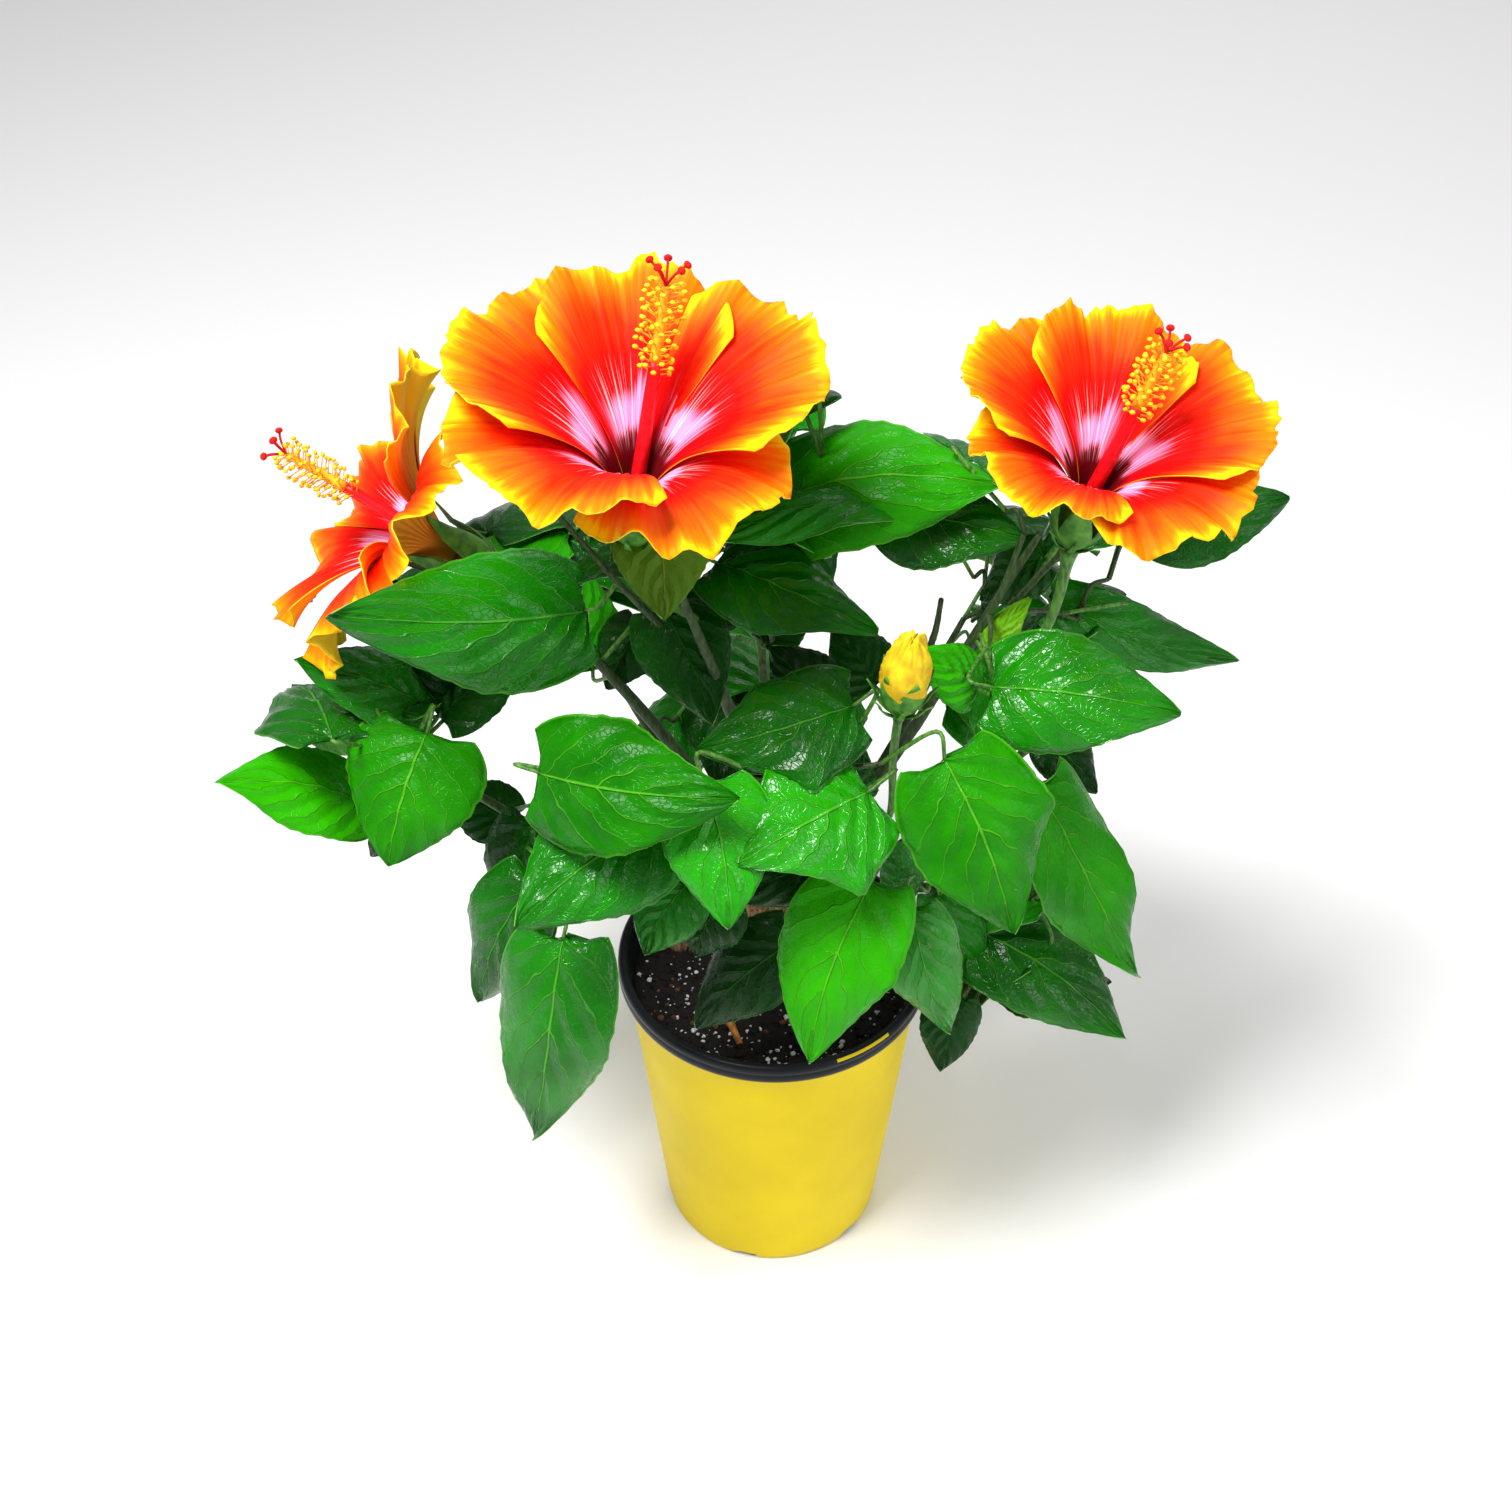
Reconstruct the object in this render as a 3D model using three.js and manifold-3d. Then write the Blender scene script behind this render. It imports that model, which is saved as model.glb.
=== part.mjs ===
// A tropical hibiscus in its nursery pot: a short trunk with a root flare, boughs that fork from it,
// masses of large leaves, three open blooms and one bud. Millimetres, +Z up.
// The origin is the middle of the pot's flat foot. The plant's front faces -Y.
import * as THREE from "three";
import { mergeVertices } from "three/addons/utils/BufferGeometryUtils.js";
import Module from "manifold-3d";

const wasm = await Module();
wasm.setup();

// Pot
const POT_HEIGHT = 186;
const RIM_RADIUS = 80.5;
const FOOT_RADIUS = 60;
const WALL = 2.2;
const LIP_HEIGHT = 11;
const LIP_OVERHANG = 3.5;
const FLOOR = 3;
const NOTCH = { count: 6, width: 12, height: 4.5, turn: 0.26 };
const ROUND_SIDES = 40;

// Soil
const SOIL_TOP = 165;
const SOIL_MOUND = 3;
const GAP = 0.3;

// Plant
const TRUNK = { radius: 9, flare: 17, top: 232, lean: [7, 6] };
const BOUGH_FOOT_RADIUS = 5.2;
const BOUGH_TIP_RADIUS = 2.4;
const LIMB_SIDES = 7;

// The boughs, each from a height on the trunk out to the middle of the foliage that it carries.
// sag is how far the middle of the bough bows out from the straight line, down or up.
const BOUGHS = {
  bough_left: { from: 205, to: [-168, -18, 332], sag: -16 },
  bough_left_high: { from: 219, to: [-120, 4, 425], sag: 12 },
  bough_front_bloom: { from: 231, to: [-46, -36, 452], sag: 10 },
  bough_middle: { from: 231, to: [8, 34, 428], sag: 6 },
  bough_right_high: { from: 226, to: [112, 0, 440], sag: -14 },
  bough_right: { from: 214, to: [128, -38, 372], sag: -14 },
  bough_right_low: { from: 196, to: [128, -8, 232], sag: 18 },
  bough_back: { from: 222, to: [-10, 110, 360], sag: -12 },
  bough_back_right: { from: 208, to: [96, 92, 330], sag: -12 },
  bough_back_left: { from: 212, to: [-96, 88, 330], sag: -12 },
  bough_front: { from: 216, to: [10, -72, 330], sag: -10 },
};

// The masses of foliage: middle, half sizes, and turn about +Z in degrees.
const MASSES = {
  foliage_left_high: { at: [-128, -14, 408], half: [70, 52, 37], turn: 8 },
  foliage_left_tip: { at: [-184, -28, 318], half: [72, 50, 41], turn: -6 },
  foliage_front_left: { at: [-70, -92, 360], half: [60, 50, 44], turn: 12 },
  foliage_skirt_left: { at: [-98, -98, 247], half: [50, 50, 68], turn: 20 },
  foliage_front: { at: [20, -88, 354], half: [56, 48, 38], turn: -10 },
  foliage_skirt_front: { at: [42, -98, 268], half: [66, 50, 54], turn: 6 },
  foliage_right_front: { at: [104, -84, 306], half: [56, 50, 58], turn: -24 },
  foliage_right_low: { at: [152, -18, 200], half: [56, 50, 62], turn: 10 },
  foliage_right: { at: [126, -40, 390], half: [66, 50, 36], turn: -8 },
  foliage_right_tip: { at: [172, 46, 340], half: [62, 48, 42], turn: 16 },
  foliage_top: { at: [40, 22, 458], half: [78, 52, 36], turn: -10 },
  foliage_top_right: { at: [190, 44, 424], half: [54, 46, 34], turn: 24 },
  foliage_heart: { at: [-24, 6, 398], half: [50, 46, 48], turn: 0 },
  foliage_back_left: { at: [-112, 96, 322], half: [74, 62, 66], turn: -24 },
  foliage_back_right: { at: [84, 116, 312], half: [76, 60, 70], turn: 24 },
  foliage_back: { at: [-16, 122, 404], half: [66, 52, 52], turn: 0 },
  foliage_back_low: { at: [-14, 122, 236], half: [74, 50, 46], turn: 0 },
};
const MASS_COLUMNS = 15;
const MASS_ROWS = 9;
const UNEVEN = 0.085;

// The open blooms: throat, the way that each faces, its petals' reach, and the column's own lean.
const BLOOMS = {
  bloom_front: {
    throat: [-57, -40, 481],
    facing: [0.05, -0.17, 0.98],
    reach: 73,
    column: [17, 15, 99],
  },
  bloom_right: {
    throat: [123, -30, 473],
    facing: [0.1, -0.2, 0.97],
    reach: 62,
    column: [25, -7, 82],
  },
  bloom_left: {
    throat: [-142, 20, 416],
    facing: [-0.84, 0.1, 0.53],
    reach: 72,
    column: [-80, 9, 54],
  },
};
const BLOOM_DEPTH = 0.7;
const COLUMN_RADIUS = 5;
const CALYX = { length: 24, radius: 7.5 };
const BUD = { at: [50, -70, 399], radius: 11, length: 42 };

// The stalks, each from just under a calyx or the bud down into the foliage.
const STALKS = {
  stalk_front: { from: [-58.3, -35.7, 456.4], to: [-32, -4, 396], middle: [-54, -24, 428] },
  stalk_right: { from: [120.5, -25, 448.7], to: [112, -34, 388], middle: [118, -26, 420] },
  stalk_bud: { from: [49.9, -69.9, 398.4], to: [40, -76, 346], middle: [49, -71, 378] },
};
const STALK_RADIUS = 2.6;
const STUB = { at: [-50, 22], radius: 6, height: 11 };

const COLOURS = {
  pot: [0xf0dc06, 0.42],
  soil: [0x17110e, 1.0],
  bark: [0x8a6a4a, 0.85],
  leaf: [0x1f8f14, 0.4],
  bloom: [0xff5a10, 0.6],
  bud: [0xf2c414, 0.6],
  stalk: [0x3f6a24, 0.6],
};

function material(name) {
  const [color, roughness] = COLOURS[name];
  return new THREE.MeshStandardMaterial({ color, roughness, metalness: 0 });
}

// A closed geometry as a solid that can be joined and cut.
function solid(geometry) {
  const bare = geometry.index ? geometry.toNonIndexed() : geometry.clone();
  const only = new THREE.BufferGeometry().setAttribute("position", bare.getAttribute("position"));
  const merged = mergeVertices(only, 1e-3);
  return new wasm.Manifold(
    new wasm.Mesh({
      numProp: 3,
      vertProperties: merged.attributes.position.array,
      triVerts: new Uint32Array(merged.index.array),
    }),
  );
}

function geometryOf(manifold) {
  const mesh = manifold.getMesh();
  return new THREE.BufferGeometry()
    .setAttribute("position", new THREE.BufferAttribute(mesh.vertProperties, 3))
    .setIndex(new THREE.BufferAttribute(mesh.triVerts, 1));
}

function largest(manifold) {
  return manifold.decompose().reduce((a, b) => (b.volume() > a.volume() ? b : a));
}

function lathe(profile, sides = ROUND_SIDES) {
  const points = profile.map(([r, z]) => new THREE.Vector2(r, z));
  return new THREE.LatheGeometry([...points, points[0]], sides).rotateX(Math.PI / 2);
}

// Pot: one tapered shell with a rolled lip, a flat foot and drain notches round the foot.
function pot() {
  const slope = (RIM_RADIUS - LIP_OVERHANG - FOOT_RADIUS) / POT_HEIGHT;
  const outer = (z) => FOOT_RADIUS + slope * z;
  const under = POT_HEIGHT - LIP_HEIGHT;
  let shell = solid(
    lathe([
      [0, 0],
      [FOOT_RADIUS - 2, 0],
      [outer(2), 2],
      [outer(under), under],
      [RIM_RADIUS - 1, under],
      [RIM_RADIUS, under + 2],
      [RIM_RADIUS, POT_HEIGHT - 2],
      [RIM_RADIUS - 1.5, POT_HEIGHT],
      [outer(POT_HEIGHT) - WALL + 1, POT_HEIGHT],
      [outer(POT_HEIGHT) - WALL, POT_HEIGHT - 2],
      [outer(FLOOR) - WALL, FLOOR],
      [0, FLOOR],
    ]),
  );
  for (let i = 0; i < NOTCH.count; i++) {
    const angle = ((i + NOTCH.turn) / NOTCH.count) * 2 * Math.PI;
    const notch = new THREE.BoxGeometry(16, NOTCH.width, NOTCH.height * 2)
      .translate(FOOT_RADIUS + 5, 0, 0)
      .rotateZ(angle);
    shell = shell.subtract(solid(notch));
  }
  return shell;
}

function soil() {
  const slope = (RIM_RADIUS - LIP_OVERHANG - FOOT_RADIUS) / POT_HEIGHT;
  const inner = (z) => FOOT_RADIUS + slope * z - WALL - GAP;
  return solid(
    lathe([
      [0, FLOOR + GAP],
      [inner(FLOOR) - GAP, FLOOR + GAP],
      [inner(SOIL_TOP), SOIL_TOP],
      [inner(SOIL_TOP) * 0.6, SOIL_TOP + SOIL_MOUND * 0.7],
      [0, SOIL_TOP + SOIL_MOUND],
    ]),
  );
}

// A limb: a closed cylinder whose rings are carried along a curve, with its own radius at each place.
function limb(curve, radius, steps) {
  const shape = new THREE.CylinderGeometry(1, 1, 1, LIMB_SIDES, steps);
  const place = shape.getAttribute("position");
  const frames = curve.computeFrenetFrames(steps, false);
  for (let i = 0; i < place.count; i++) {
    const t = place.getY(i) + 0.5;
    const k = Math.round(t * steps);
    const r = radius(t);
    const at = curve
      .getPointAt(t)
      .addScaledVector(frames.normals[k], place.getX(i) * r)
      .addScaledVector(frames.binormals[k], -place.getZ(i) * r);
    place.setXYZ(i, at.x, at.y, at.z);
  }
  return solid(shape);
}

const trunkFoot = new THREE.Vector3(0, 0, SOIL_TOP + SOIL_MOUND + GAP);
const trunkTop = new THREE.Vector3(...TRUNK.lean, TRUNK.top);
const trunkMiddle = trunkFoot.clone().lerp(trunkTop, 0.5).add(new THREE.Vector3(-2.5, 1.5, 0));
const trunkCurve = new THREE.CatmullRomCurve3([trunkFoot, trunkMiddle, trunkTop]);

function trunk(grow = 0) {
  const flare = (t) => (TRUNK.flare - TRUNK.radius) * Math.exp(-9 * t);
  const foot = limb(trunkCurve, (t) => TRUNK.radius * (1 - 0.18 * t) + flare(t) + grow, 9);
  const below = new THREE.BoxGeometry(90, 90, 40).translate(0, 0, trunkFoot.z - 20);
  return grow ? foot : foot.subtract(solid(below));
}

// A bough bows between its place on the trunk and the middle of its foliage.
function boughCurve({ from, to, sag }) {
  const start = trunkCurve.getPointAt((from - trunkFoot.z) / (TRUNK.top - trunkFoot.z));
  const end = new THREE.Vector3(...to);
  const middle = start.clone().lerp(end, 0.45).add(new THREE.Vector3(0, 0, sag));
  return new THREE.CatmullRomCurve3([start, middle, end]);
}

function bough(spec, grow = 0) {
  const taper = (t) => BOUGH_FOOT_RADIUS + (BOUGH_TIP_RADIUS - BOUGH_FOOT_RADIUS) * t + grow;
  return limb(boughCurve(spec), taper, 8);
}

function stalk({ from, middle, to }) {
  const points = [from, middle, to].map((p) => new THREE.Vector3(...p));
  return limb(new THREE.CatmullRomCurve3(points), () => STALK_RADIUS, 6);
}

// A mass of foliage: a ball stretched to its half sizes, with lumps of leaf size over it.
function mass({ at, half, turn }, index, grow = 0) {
  const ball = new THREE.SphereGeometry(1, MASS_COLUMNS, MASS_ROWS);
  const place = ball.getAttribute("position");
  const p = new THREE.Vector3();
  for (let i = 0; i < place.count; i++) {
    p.fromBufferAttribute(place, i);
    const lumps =
      Math.sin(3.1 * p.x + 4.3 * p.y + index) +
      Math.sin(4.7 * p.y - 3.3 * p.z + 2.1 * index) +
      Math.sin(5.3 * p.z + 2.9 * p.x + 0.7 * index);
    p.multiplyScalar(1 + UNEVEN * lumps);
    p.set(p.x * half[0], p.y * half[1], p.z * half[2]);
    p.addScaledVector(p.clone().normalize(), grow);
    place.setXYZ(i, p.x, p.y, p.z);
  }
  ball.rotateZ(THREE.MathUtils.degToRad(turn)).translate(...at);
  return solid(ball);
}

// A geometry drawn along +Z, turned to point a given way and moved to its place.
function pointed(geometry, direction, at) {
  const turn = new THREE.Quaternion().setFromUnitVectors(
    new THREE.Vector3(0, 0, 1),
    new THREE.Vector3(...direction).normalize(),
  );
  return geometry.applyQuaternion(turn).translate(...at);
}

// A bloom: a funnel of five petals with a ruffled edge, its calyx behind and its column in front.
function bloom({ throat, facing, reach, column }, grow = 0) {
  const depth = reach * BLOOM_DEPTH;
  const thick = 2.5 + grow;
  const funnel = lathe(
    [
      [0, -CALYX.length - grow],
      [CALYX.radius + grow, -CALYX.length * 0.7 - grow],
      [CALYX.radius + grow, 0],
      [reach * 0.42 + grow, depth * 0.42 - grow],
      [reach * 0.86, depth * 0.86 - thick],
      [reach + grow, depth * 0.84 - thick],
      [reach + grow, depth * 0.84 + thick],
      [reach * 0.84, depth * 0.92 + thick],
      [reach * 0.36, depth * 0.5 + thick],
      [0, 6 + grow],
    ],
    25,
  );
  const place = funnel.getAttribute("position");
  for (let i = 0; i < place.count; i++) {
    const [x, y, z] = [place.getX(i), place.getY(i), place.getZ(i)];
    const out = Math.hypot(x, y) / reach;
    const angle = Math.atan2(y, x);
    const petals = 1 - 0.05 * out * out * (1 - Math.cos(5 * angle));
    const ruffle = 3.2 * out * out * Math.sin(10 * angle);
    place.setXYZ(i, x * petals, y * petals, z + ruffle);
  }
  const long = Math.hypot(...column);
  const rod = new THREE.CylinderGeometry(COLUMN_RADIUS + grow, COLUMN_RADIUS + grow, long, 7)
    .rotateX(Math.PI / 2)
    .translate(0, 0, long / 2);
  return solid(pointed(funnel, facing, throat)).add(solid(pointed(rod, column, throat)));
}

function bud(grow = 0) {
  const profile = [
    [0, -grow],
    [BUD.radius * 0.6 + grow, BUD.length * 0.1],
    [BUD.radius + grow, BUD.length * 0.45],
    [BUD.radius * 0.8 + grow, BUD.length * 0.8],
    [0, BUD.length + grow],
  ];
  return solid(pointed(lathe(profile, 12), [0.08, -0.1, 1], BUD.at));
}

function stub() {
  const short = new THREE.CylinderGeometry(STUB.radius * 0.8, STUB.radius, STUB.height, LIMB_SIDES)
    .rotateX(Math.PI / 2)
    .translate(STUB.at[0], STUB.at[1], SOIL_TOP + SOIL_MOUND + GAP + STUB.height / 2);
  return solid(short);
}

const shrub = new THREE.Group();
function add(name, shape, look) {
  const mesh = new THREE.Mesh(geometryOf(shape), material(look));
  mesh.name = name;
  shrub.add(mesh);
}

add("pot", pot(), "pot");
add("soil", soil(), "soil");
add("stub", stub(), "bark");
add("trunk", trunk(), "bark");

// Each bough is cut clear of the trunk, of the boughs before it, and of the foliage and blooms.
const massList = Object.entries(MASSES);
const bloomList = Object.entries(BLOOMS);
const boughList = Object.entries(BOUGHS);
boughList.forEach(([name, spec], i) => {
  let shape = bough(spec).subtract(trunk(GAP));
  for (const [, earlier] of boughList.slice(0, i)) {
    shape = shape.subtract(bough(earlier, GAP));
  }
  massList.forEach(([, other], k) => {
    shape = shape.subtract(mass(other, k, GAP));
  });
  for (const [, other] of bloomList) shape = shape.subtract(bloom(other, GAP));
  add(name, largest(shape), "bark");
});

// Each mass is cut clear of the trunk, of the blooms and bud, and of the masses before it.
massList.forEach(([name, spec], i) => {
  let shape = mass(spec, i).subtract(trunk(GAP)).subtract(bud(GAP));
  for (const [, other] of bloomList) shape = shape.subtract(bloom(other, GAP));
  massList.slice(0, i).forEach(([, earlier], k) => {
    shape = shape.subtract(mass(earlier, k, GAP));
  });
  add(name, largest(shape), "leaf");
});

for (const [name, spec] of bloomList) add(name, bloom(spec), "bloom");
add("bud", bud(), "bud");

// Each stalk runs from its bloom down to where it enters the foliage.
for (const [name, spec] of Object.entries(STALKS)) {
  let shape = stalk(spec);
  massList.forEach(([, other], k) => {
    shape = shape.subtract(mass(other, k, GAP));
  });
  for (const [, other] of boughList) shape = shape.subtract(bough(other, GAP));
  add(name, largest(shape), "stalk");
}

export default shrub;
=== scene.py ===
# %% [markdown]
# # A tropical hibiscus in its nursery pot
#
# The plant is a short woody trunk, boughs that fork from it, large glossy leaves on thin leaf stalks,
# three open blooms and a bud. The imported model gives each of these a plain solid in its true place.
# This lesson grows the real surfaces on that frame: it starts with the limbs, then hangs the leaves
# on them, opens the blooms, and finishes with the pot, the potting mix, the light and the camera.

import math

import bpy
import numpy as np
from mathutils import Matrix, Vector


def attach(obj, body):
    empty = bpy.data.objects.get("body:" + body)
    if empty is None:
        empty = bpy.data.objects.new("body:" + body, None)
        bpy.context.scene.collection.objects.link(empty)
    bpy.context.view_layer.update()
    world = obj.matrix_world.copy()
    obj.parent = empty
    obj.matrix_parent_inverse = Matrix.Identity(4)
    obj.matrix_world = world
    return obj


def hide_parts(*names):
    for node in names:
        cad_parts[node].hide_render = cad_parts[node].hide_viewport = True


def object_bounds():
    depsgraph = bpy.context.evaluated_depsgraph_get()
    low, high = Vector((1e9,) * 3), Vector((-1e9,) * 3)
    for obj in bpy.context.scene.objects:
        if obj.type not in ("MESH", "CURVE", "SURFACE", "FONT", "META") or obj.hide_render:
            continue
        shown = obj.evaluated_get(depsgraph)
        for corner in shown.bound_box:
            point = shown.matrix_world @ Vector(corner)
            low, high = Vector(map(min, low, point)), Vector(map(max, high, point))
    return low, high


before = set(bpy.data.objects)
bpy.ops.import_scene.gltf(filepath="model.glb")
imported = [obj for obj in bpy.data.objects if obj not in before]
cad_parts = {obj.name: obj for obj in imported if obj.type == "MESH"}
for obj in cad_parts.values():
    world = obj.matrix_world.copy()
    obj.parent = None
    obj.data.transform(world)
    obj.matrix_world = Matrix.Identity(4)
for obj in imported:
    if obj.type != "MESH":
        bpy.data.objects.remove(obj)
cad_low, cad_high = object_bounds()
print("the frame has", len(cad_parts), "solids, from", tuple(cad_low), "to", tuple(cad_high))

# %% [markdown]
# Everything below is measured in millimetres, as a gardener would, and turned to metres by MM.
# One seeded generator deals all that is left to chance, so that the plant grows the same every time.

# %% Units and chance
MM = 0.001
chance = np.random.default_rng(7)
UP = np.array([0.0, 0.0, 1.0])


def mm(*values):
    """A point or a list of lengths, from millimetres to metres."""
    return np.array(values, dtype=float) * MM


def unit(vector):
    """The same direction with a length of one."""
    vector = np.asarray(vector, dtype=float)
    return vector / max(np.linalg.norm(vector), 1e-12)


def smooth(value, low, high):
    """0 below low, 1 above high, and an even slope with soft ends between them."""
    t = np.clip((value - low) / (high - low), 0, 1)
    return t * t * (3 - 2 * t)


# %% [markdown]
# A mesh piece is points, faces and materials. Leaves and petals also carry flat maps: "Blade" says
# where a point lies on its own leaf or petal, "Tone" deals each one its own shade, and "OFBake" lays
# them all out side by side without overlap, which an exporter needs in order to paint them. Blender
# can unwrap a mesh too, but these sheets are grids, which already know where each point lies.

# %% Make one mesh piece
def into_scene(name, data):
    """Makes an object of a mesh, a lamp or a camera, and puts it in the scene."""
    made = bpy.data.objects.new(name, data)
    bpy.context.scene.collection.objects.link(made)
    return made


def make_piece(name, points, faces, materials, face_slots, maps=None):
    """Makes a mesh object with its materials and maps, and hangs it on the plant's root body."""
    mesh = bpy.data.meshes.new(name)
    mesh.from_pydata(np.asarray(points).tolist(), [], [list(map(int, f)) for f in faces])
    for material in materials:
        mesh.materials.append(material)
    mesh.polygons.foreach_set("material_index", np.asarray(face_slots, dtype=np.int32))
    corner = np.empty(len(mesh.loops), dtype=np.int32)
    mesh.loops.foreach_get("vertex_index", corner)
    for map_name, values in (maps or {}).items():
        layer = mesh.uv_layers.new(name=map_name)
        layer.data.foreach_set("uv", np.asarray(values, dtype=np.float32)[corner].ravel())
    mesh.shade_smooth()
    mesh.update()
    piece = into_scene(name, mesh)
    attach(piece, "root")
    print(name, "has", len(mesh.vertices), "points and", len(mesh.polygons), "faces")
    return piece


# %% [markdown]
# Every material is a small tree of nodes. One function adds a node, sets its values and links its
# inputs, so that a whole material reads as a list of steps. It is told the kind without the words
# "ShaderNode". Sockets are given by name or number: a Map Range takes its two old ends as 1 and 2
# and its new ends as 3 and 4, and a Mix of colours takes its colours as 6 and 7 and gives output 2.
# Colours are written as sRGB hex, as a paint chart gives them, and turned to the linear light that
# the shader works in.

# %% Nodes and colours
def srgb(code):
    """An sRGB hex colour as linear red, green, blue and alpha."""
    parts = [int(code[i : i + 2], 16) / 255 for i in (1, 3, 5)]
    linear = [c / 12.92 if c <= 0.04045 else ((c + 0.055) / 1.055) ** 2.4 for c in parts]
    return (*linear, 1.0)


def add_node(tree, kind, inputs=None, stops=None, **settings):
    """Adds a node with its settings, its input values or links, and a ramp's colour stops."""
    made = tree.nodes.new("ShaderNode" + kind)
    for key, value in settings.items():
        setattr(made, key, value)
    for socket, source in (inputs or {}).items():
        if isinstance(source, bpy.types.Node):
            source = source.outputs[0]
        if isinstance(source, bpy.types.NodeSocket):
            tree.links.new(source, made.inputs[socket])
        else:
            made.inputs[socket].default_value = source
    if stops:
        elements = made.color_ramp.elements
        while len(elements) < len(stops):
            elements.new(1.0)
        for element, (place, colour) in zip(elements, stops):
            element.position = place
            element.color = srgb(colour)
    return made


def start_material(name, roughness=0.5, ior=1.45):
    """A material with a Principled shader, ready for its colour and bump."""
    material = bpy.data.materials.new(name)
    material.use_nodes = True
    tree = material.node_tree
    tree.nodes.clear()
    shader = add_node(tree, "BsdfPrincipled", {"Roughness": roughness, "IOR": ior})
    add_node(tree, "OutputMaterial", {"Surface": shader.outputs["BSDF"]})
    return material, tree, shader


EASED = {"interpolation_type": "SMOOTHSTEP"}  # a Map Range with soft ends


def finish_skin(tree, shader, colour, height, strength, distance):
    """Gives the shader its colour and a relief, whose full height is a distance in metres."""
    bump = {"Height": height, "Strength": strength, "Distance": distance}
    relief = add_node(tree, "Bump", bump)
    tree.links.new(colour, shader.inputs["Base Color"])
    tree.links.new(relief.outputs[0], shader.inputs["Normal"])


print("half of full sRGB is", round(srgb("#808080")[0], 3), "of full linear light")

# %% [markdown]
# ## Bark
# The trunk and old boughs have a thin grey-brown bark with fine cracks that run along the wood, and
# small pale pores. Young wood is still green. Both are matte. A wave pattern could draw the cracks,
# but it would look ruled, so they are a noise stretched upwards. On the plant they are about 1.5 mm
# apart and 6 mm long, which is the scale used here.

# %% Materials of the wood
CRACKS = (650, 650, 160)  # in each metre


def bark_material(name, dark, light, roughness):
    """Bark: two browns in a stretched noise, which also gives the cracks their relief."""
    material, tree, shader = start_material(name, roughness)
    place = add_node(tree, "TexCoord")
    stretched = add_node(tree, "Mapping", {"Vector": place.outputs["Object"], "Scale": CRACKS})
    cracks = add_node(tree, "TexNoise", {"Vector": stretched, "Scale": 1.0, "Detail": 4.0})
    tone = add_node(tree, "ValToRGB", {0: cracks}, stops=[(0.35, dark), (0.68, light)])
    finish_skin(tree, shader, tone.outputs[0], cracks, 0.7, 0.0006)
    return material


old_bark = bark_material("hibiscus bark, dry and cracked", "#4a3424", "#a58461", 0.85)
young_bark = bark_material("hibiscus shoot, green skin", "#182a0c", "#3c5a1e", 0.55)
leaf_stalk = bark_material("leaf stalk, smooth green skin", "#2c5a14", "#5f9a34", 0.45)
print("wood and stalks:", [made.name for made in (old_bark, young_bark, leaf_stalk)])

# %% [markdown]
# ## Limbs
# A limb is a tube whose rings follow a curve and whose radius changes along it. The trunk flares
# where it meets the soil. Each bough starts inside the trunk, so that the join is closed, and thins
# evenly towards its tip. Its first part wears old bark and the rest is young green wood. A Blender
# curve with a bevel could do this too, but all its rings have one outline. The rings made here carry
# a little unevenness, which is the relief of the bark.
#
# A tube is closed by one point at each end, and so are the eggs and the bud further down, so they
# all share one way to number their faces.

# %% Faces round rings of points
def wall_faces(rings, sides, first=0):
    """Four-sided faces between rings of points that follow each other from number first."""
    faces = []
    for ring in range(rings - 1):
        for k in range(sides):
            n = (k + 1) % sides
            a = first + ring * sides
            faces.append((a + k, a + n, a + sides + n, a + sides + k))
    return faces


def closed_faces(rings, sides):
    """Faces of a closed shape: its first point, its rings of points, and its last point."""
    faces = wall_faces(rings, sides, 1)
    last = 1 + (rings - 1) * sides
    for k in range(sides):
        n = (k + 1) % sides
        faces.append((0, 1 + n, 1 + k))
        faces.append((last + k, last + n, last + sides))
    return faces


# %% Tubes along curves
def bend(*points, count=12):
    """Points evenly spread on the smooth curve through the given points."""
    points = np.array(points, dtype=float)
    ends = np.vstack([2 * points[0] - points[1], points, 2 * points[-1] - points[-2]])
    along = []
    for i in range(1, len(ends) - 2):
        a, b, c, d = ends[i - 1 : i + 3]
        for t in np.linspace(0, 1, count, endpoint=False):
            along.append(
                0.5 * (2 * b + (c - a) * t + (2 * a - 5 * b + 4 * c - d) * t**2)
                + 0.5 * (3 * b - a - 3 * c + d) * t**3
            )
    along.append(points[-1])
    return np.array(along)


def tube(path, radii, sides=8, rough=0.0):
    """Points and faces of a closed tube along a path, with a radius at each of its points."""
    path = np.asarray(path)
    radii = np.broadcast_to(radii, len(path))
    forward = np.gradient(path, axis=0)
    forward /= np.linalg.norm(forward, axis=1, keepdims=True)
    across = unit(np.cross(forward[0], [0.31, 0.95, 0.05]))
    rings = []
    turn = np.linspace(0, 2 * np.pi, sides, endpoint=False)
    for place, ahead, radius in zip(path, forward, radii):
        across = unit(across - np.dot(across, ahead) * ahead)
        other = np.cross(ahead, across)
        reach = radius * (1 + rough * chance.normal(0, 1, sides))
        ring = np.outer(np.cos(turn), across) + np.outer(np.sin(turn), other)
        rings.append(place + reach[:, None] * ring)
    return np.vstack([path[:1], *rings, path[-1:]]), closed_faces(len(path), sides)


class Heap:
    """Many small shapes gathered into the points and faces of one piece."""

    def __init__(self):
        self.points, self.faces, self.slots, self.count = [], [], [], 0

    def add(self, shape, slot=0):
        points, faces = shape
        self.points.append(np.asarray(points))
        self.faces.extend([tuple(v + self.count for v in face) for face in faces])
        self.slots.extend([slot] * len(faces))
        self.count += len(points)

    def piece(self, name, materials, slot):
        return make_piece(name, np.vstack(self.points), self.faces, materials, self.slots)


# %% [markdown]
# The boughs follow the same routes as the solids in the frame: from a height on the trunk, bowed out
# or down by `sag`, to the middle of the foliage that each one carries.

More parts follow.
